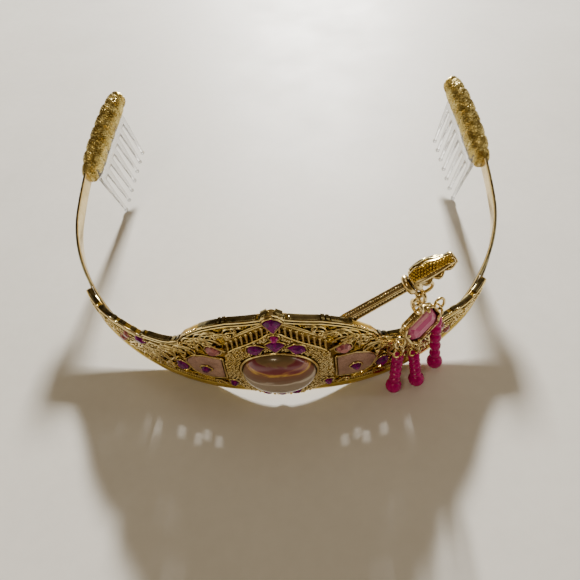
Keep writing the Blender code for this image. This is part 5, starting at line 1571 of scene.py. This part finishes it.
def build_arm():
    """The arm and the open leaf at its end, with wires, bands and grains on the leaf."""
    shapes = arm_bar()
    for radius_by in (LEAF_OUTER, LEAF_INNER):
        points = [head_point(i / (LEAF_STATIONS - 1), k / (LEAF_STEPS - 1), radius_by)
                  for i in range(LEAF_STATIONS) for k in range(LEAF_STEPS)]
        faces = []
        for i in range(LEAF_STATIONS - 1):
            for k in range(LEAF_STEPS - 1):
                near, far = i * LEAF_STEPS + k, (i + 1) * LEAF_STEPS + k
                quad = (near, near + 1, far + 1, far)
                faces.append(quad if radius_by > 1.0 else tuple(reversed(quad)))
        shapes.add((points, faces))
    shares = [i / (LEAF_STATIONS - 1) for i in range(LEAF_STATIONS)]
    turns = [k / LEAF_TURNS for k in range(LEAF_TURNS + 1)]
    border = [head_point(share, 0.0) for share in shares] + [head_point(1.0, turn) for turn in turns[1:-1]]
    border += [head_point(1.0 - share, 1.0) for share in shares]
    border += [head_point(0.0, 1.0 - turn) for turn in turns[1:-1]]
    shapes.add(tube(border, HEAD_WALL * 0.58, 8, closed=True))
    for turn in (0.25, 0.5, 0.75):
        shapes.add(tube([head_point(share, turn, LEAF_OUTER) for share in shares], 0.00038, 8))
        shapes.add(tube([head_point(share, turn, LEAF_INNER) for share in shares], 0.00030, 8))
    for share in (0.22, 0.5, 0.78):
        shapes.add(tube([head_point(share, turn, LEAF_INNER) for turn in turns], 0.00026, 8))
    bands = Shapes()
    for turn in (0.46, 0.56, 0.66):
        line = [head_point(share, turn, LEAF_OUTER) for share in shares[1:-1]]
        bands.add(tube(line, 0.00045, 8, flatten=0.7))
    lining = Shapes()
    for turn in np.arange(0.78, 0.97, 0.05):
        for k in range(14):
            share = (k + 0.5 * (round(turn * 20) % 2)) / 14
            lining.add(ball(head_point(min(share, 1.0), turn, LEAF_OUTER), 0.00046))
    frame_of_arm = arm_matrix()
    piece("leaf_grains", lining, GOLD_UNDER, flat=False, matrix=frame_of_arm, degrees=180)
    piece("leaf_bands", bands, GOLD_DARK_PAINTED_REFLECTION, flat=False, matrix=frame_of_arm, degrees=45)
    piece("arm_and_leaf", shapes, ARM_GOLD, ["side_arm"], flat=False, matrix=frame_of_arm,
          degrees=45)


def pendant_axes():
    """The pendant's directions: along its long side, down across it, and out."""
    _, _, face_out = face_axes(PENDANT_S)
    up = -DOWN
    level_out = Vector((face_out.x, face_out.y, 0.0)).normalized()
    level_out = (level_out - up * level_out.dot(up)).normalized()
    out = level_out * math.cos(PENDANT_FACING_UP) + up * math.sin(PENDANT_FACING_UP)
    level = up.cross(out).normalized()
    rise = out.cross(level)
    along = level * math.cos(PENDANT_ROLL) + rise * math.sin(PENDANT_ROLL)
    return along, out.cross(along), out


def pendant_matrix():
    along, across, out = pendant_axes()
    matrix = Matrix((along, across, out)).transposed().to_4x4()
    matrix.translation = Vector(on_face([(PENDANT_S, PENDANT_V, PENDANT_OUT)])[0])
    return matrix


def octagon(length, width, corner):
    a, b = length / 2, width / 2
    return [(-a + corner, -b), (a - corner, -b), (a, -b + corner), (a, b - corner),
            (a - corner, b), (-a + corner, b), (-a, b - corner), (-a, -b + corner)]


def setting_half_size():
    margin = CLEARANCE + PENDANT_WALL
    return PENDANT_STONE_LENGTH / 2 + margin, PENDANT_STONE_WIDTH / 2 + margin


def pendant_eye_places():
    """Eyes for the drops on the setting's lower edge and ends, in its own frame."""
    half_length, half_width = setting_half_size()
    reach = 0.75 * RING_RADIUS
    level = -0.2 * PENDANT_DEPTH
    return {
        "first": Vector((-half_length - 1.5 * reach, -0.10 * half_width, level)),
        "second": Vector((-0.70 * half_length, -half_width - reach, level)),
        "third": Vector((half_length + 1.5 * reach, -0.20 * half_width, level)),
    }


def top_eye_place():
    """The middle of the eye on the setting's upper edge, in the pendant's own frame."""
    half_length, half_width = setting_half_size()
    return Vector((0.35 * half_length, half_width + 0.9 * TOP_EYE_RADIUS, 0.0))


PENDANT_RIM_SHARE = 0.8
CLAW_RISE = 0.0004
# The step-cut stone: shares of its length and width, and of its height
PENDANT_TIERS = ((1.0, 1.0, 0.0), (1.0, 1.0, 0.42), (0.90, 0.84, 0.72), (0.74, 0.62, 0.98),
                 (0.50, 0.05, 1.12))


def build_pendant():
    """The pendant's setting with a beaded rim and claws, its step-cut stone and its eyes."""
    matrix = pendant_matrix()
    shape = octagon(PENDANT_STONE_LENGTH, PENDANT_STONE_WIDTH, PENDANT_CORNER)
    wall = grown(shape, CLEARANCE + PENDANT_WALL)
    back, front = -PENDANT_DEPTH / 2, PENDANT_DEPTH / 2
    shapes = Shapes()
    shapes.add(prism([wall], back, back + PENDANT_FLOOR, 0.0002, 0.0))
    shapes.add(prism([wall, grown(shape, CLEARANCE)], back + 0.0002, front, 0.0002, 0.0))
    rim = grown(shape, CLEARANCE + PENDANT_RIM_SHARE * PENDANT_WALL)
    for level, wire in ((front, 0.0003), (back + 0.0004, 0.00034)):
        shapes.add(tube(closed_line(rim, level, 80), wire, 8, closed=True))
    for x, y, _ in closed_line(wall, 0.0, 44):
        shapes.add(ball((x, y, 0.0002), 0.00036, GRAIN))
    for x, y in shape[::2]:
        claw = [(x * 1.10, y * 1.14, back), (x * 1.10, y * 1.14, front), (x, y, front + CLAW_RISE)]
        shapes.add(tube(claw, 0.00045, 8))
        shapes.add(ball((x * 0.99, y * 0.99, front + CLAW_RISE), 0.0005))
    level_axis = (math.cos(PENDANT_ROLL), -math.sin(PENDANT_ROLL), 0.0)
    for place in pendant_eye_places().values():
        shapes.add(ring(RING_RADIUS, EYE_WIRE, place, (0.0, 0.0, 1.0), 32, 10))
    shapes.add(ring(TOP_EYE_RADIUS, BAIL_WIRE, top_eye_place(), level_axis, 36))
    piece("pendant_frame", shapes, ARM_GOLD, ["pendant_setting"], flat=False, matrix=matrix,
          degrees=45)
    seat = back + PENDANT_FLOOR + CLEARANCE
    rings = [[(x * along, y * across, seat + PENDANT_STONE_HEIGHT * level) for x, y in shape]
             for along, across, level in PENDANT_TIERS]
    piece("pendant_step_cut", Shapes().add(loft(rings)), ROSE, ["pendant_stone"],
          flat=False, matrix=matrix, degrees=8)


def build_bail():
    """Two rings that hang the pendant's top eye from the arm's eye, sized to span the way."""
    start = arm_matrix() @ arm_eye_place()
    end = pendant_matrix() @ top_eye_place()
    way = end - start
    direction = way.normalized()
    overlap = 2 * BAIL_WIRE + CLEARANCE
    radius = (way.length - ARM_EYE_RADIUS - TOP_EYE_RADIUS + 3 * overlap) / 4
    upper = start + direction * (ARM_EYE_RADIUS + radius - overlap)
    lower = upper + direction * (2 * radius - overlap)
    sideways = direction.cross(pendant_axes()[2]).normalized()
    for name, place, axis in (("upper_bail_ring", upper, sideways),
                              ("lower_bail_ring", lower, sideways.cross(direction))):
        shapes = Shapes().add(ring(radius, BAIL_WIRE, place, axis))
        piece(name + "_smooth", shapes, ARM_GOLD, [name], flat=False, degrees=60)


FACETS = 14
# One cut rondelle: share of its length, share of its radius, and turn in facets
RONDELLE = ((0.04, 0.50, 0.0), (0.20, 0.86, 0.5), (0.42, 1.02, 0.0), (0.60, 1.02, 0.0),
            (0.82, 0.86, 0.5), (0.96, 0.50, 0.0))
ROUND_BEAD_STEPS = 12


def drop_rings(length):
    """Sections down one drop: cut rondelles with narrow necks, a smooth round bead and a nub."""
    beads = length - 2 * DROP_BEAD_RADIUS
    pitch = beads / RONDELLES_PER_DROP
    sections = [(0.0, DROP_TIP_RADIUS, 0.0)]
    for i in range(RONDELLES_PER_DROP):
        top = i * pitch
        for depth, radius, turn in RONDELLE:
            sections.append((top + depth * pitch, radius * RONDELLE_RADIUS, turn))
    for k in range(1, ROUND_BEAD_STEPS):
        angle = math.pi * k / ROUND_BEAD_STEPS
        depth = beads + DROP_BEAD_RADIUS * (1.0 - math.cos(angle))
        sections.append((depth, DROP_BEAD_RADIUS * math.sin(angle), 0.0))
    sections.append((length, DROP_TIP_RADIUS, 0.0))
    return sections


LOOP_POST = 0.0012


def build_drops():
    """Each drop hangs by its own jump ring, down to just over the table."""
    leans = {"first": 0.0, "second": SECOND_DROP_LEAN, "third": THIRD_DROP_LEAN}
    out = pendant_axes()[2]
    link_gap = 2 * RING_RADIUS - RING_WIRE - EYE_WIRE - CLEARANCE
    for name, place in pendant_eye_places().items():
        ring_centre = pendant_matrix() @ place + DOWN * link_gap
        shapes = Shapes().add(ring(RING_RADIUS, RING_WIRE, ring_centre, DOWN.cross(out), 32, 10))
        piece(name + "_jump_ring_smooth", shapes, ARM_GOLD, [name + "_jump_ring"],
              flat=False, degrees=60)
        loop_centre = ring_centre + DOWN * link_gap
        top = loop_centre + DOWN * (RING_RADIUS - RING_WIRE)
        foot = top + DOWN * (height_over_table(top) - CLEARANCE) + Vector((leans[name], 0.0, 0.0))
        axis = (foot - top).normalized()
        side = axis.orthogonal().normalized()
        other = axis.cross(side)
        rings = []
        for depth, radius, turn in drop_rings((foot - top).length):
            angles = [2 * math.pi * (k + turn) / FACETS for k in range(FACETS)]
            rings.append([tuple(top + axis * depth + side * radius * math.cos(a)
                                + other * radius * math.sin(a)) for a in angles])
        piece(name + "_beads", Shapes().add(loft(rings)), MAGENTA,
              [name + "_bead_drop"], flat=False, degrees=28)
        post = [tuple(loop_centre + DOWN * RING_RADIUS), tuple(top + DOWN * LOOP_POST)]
        shapes = Shapes().add(ring(RING_RADIUS, RING_WIRE, loop_centre, out, 32, 10))
        shapes.add(tube(post, RING_WIRE, 8))
        piece(name + "_drop_loop", shapes, ARM_GOLD, flat=False, degrees=60)


# Stage, lights and camera

CAMERA_PLACE = (0.0117, -0.1480, 0.1595)
CAMERA_RIGHT = (0.9984, 0.0101, -0.0551)
CAMERA_FORWARD = (-0.0483, 0.6521, -0.7566)
CAMERA_LENS = 36.06


def build_floor():
    mesh = bpy.data.meshes.new("floor")
    half = 1.6
    mesh.from_pydata([(-half, -half, 0.0), (half, -half, 0.0), (half, half, 0.0), (-half, half, 0.0)], [],
                     [(0, 1, 2, 3)])
    mesh.materials.append(surface("pale_floor", (0.81, 0.80, 0.75), (0.77, 0.76, 0.71), 0.55, metallic=0.0,
                                  grain=0.004, bump=0.05, depth=0.0001))
    floor = bpy.data.objects.new("floor", mesh)
    bpy.context.scene.collection.objects.link(floor)


def area_light(name, place, target, width, height, power, colour):
    light = bpy.data.lights.new(name, "AREA")
    light.shape = "RECTANGLE"
    light.size = width
    light.size_y = height
    light.energy = power
    light.color = colour
    obj = bpy.data.objects.new(name, light)
    obj.location = place
    direction = Vector(target) - Vector(place)
    obj.rotation_euler = direction.to_track_quat("-Z", "Y").to_euler()
    bpy.context.scene.collection.objects.link(obj)


WORLD_COLOUR = (1.0, 0.70, 0.40, 1.0)
WORLD_STRENGTH = 0.125
CROWN_MIDDLE = (0.0, -0.02, 0.02)
# Area lights: name, place, target, width, height, power and colour
LIGHTS = (
    ("back_key", (0.03, 1.70, 0.66), CROWN_MIDDLE, 0.20, 0.12, 106.0, (1.0, 0.96, 0.90)),
    ("overhead", (0.0, 0.25, 1.10), (0.0, 0.0, 0.0), 0.6, 0.5, 0.9, (1.0, 0.92, 0.78)),
    ("front_fill", (-0.25, -0.60, 0.85), CROWN_MIDDLE, 0.3, 0.2, 1.6, (1.0, 0.83, 0.57)),
    ("side_strip", (0.80, -0.05, 0.35), CROWN_MIDDLE, 0.12, 0.7, 0.8, (1.0, 0.94, 0.84)),
)


def build_lights():
    world = bpy.data.worlds.new("studio")
    bpy.context.scene.world = world
    world.use_nodes = True
    background = world.node_tree.nodes["Background"]
    background.inputs["Color"].default_value = WORLD_COLOUR
    background.inputs["Strength"].default_value = WORLD_STRENGTH
    for light in LIGHTS:
        area_light(*light)


def build_camera():
    camera = bpy.data.cameras.new("camera")
    camera.sensor_width = 36.0
    camera.lens = CAMERA_LENS
    camera.clip_start = 0.01
    obj = bpy.data.objects.new("camera", camera)
    forward = Vector(CAMERA_FORWARD).normalized()
    right = Vector(CAMERA_RIGHT)
    right = (right - forward * right.dot(forward)).normalized()
    up = right.cross(forward)
    matrix = Matrix((right, up, -forward)).transposed().to_4x4()
    matrix.translation = CAMERA_PLACE
    obj.matrix_world = matrix
    bpy.context.scene.collection.objects.link(obj)
    bpy.context.scene.camera = obj


build_casting()
build_top_mount()
build_granules()
build_ribs()
build_edge()
build_rim()
build_leaf_rims()
build_veins()
build_scrolls()
build_collars()
build_dome()
build_stones()
build_panels()
build_headband()
build_wraps()
build_combs()
build_arm()
build_pendant()
build_bail()
build_drops()
build_floor()
build_lights()
build_camera()
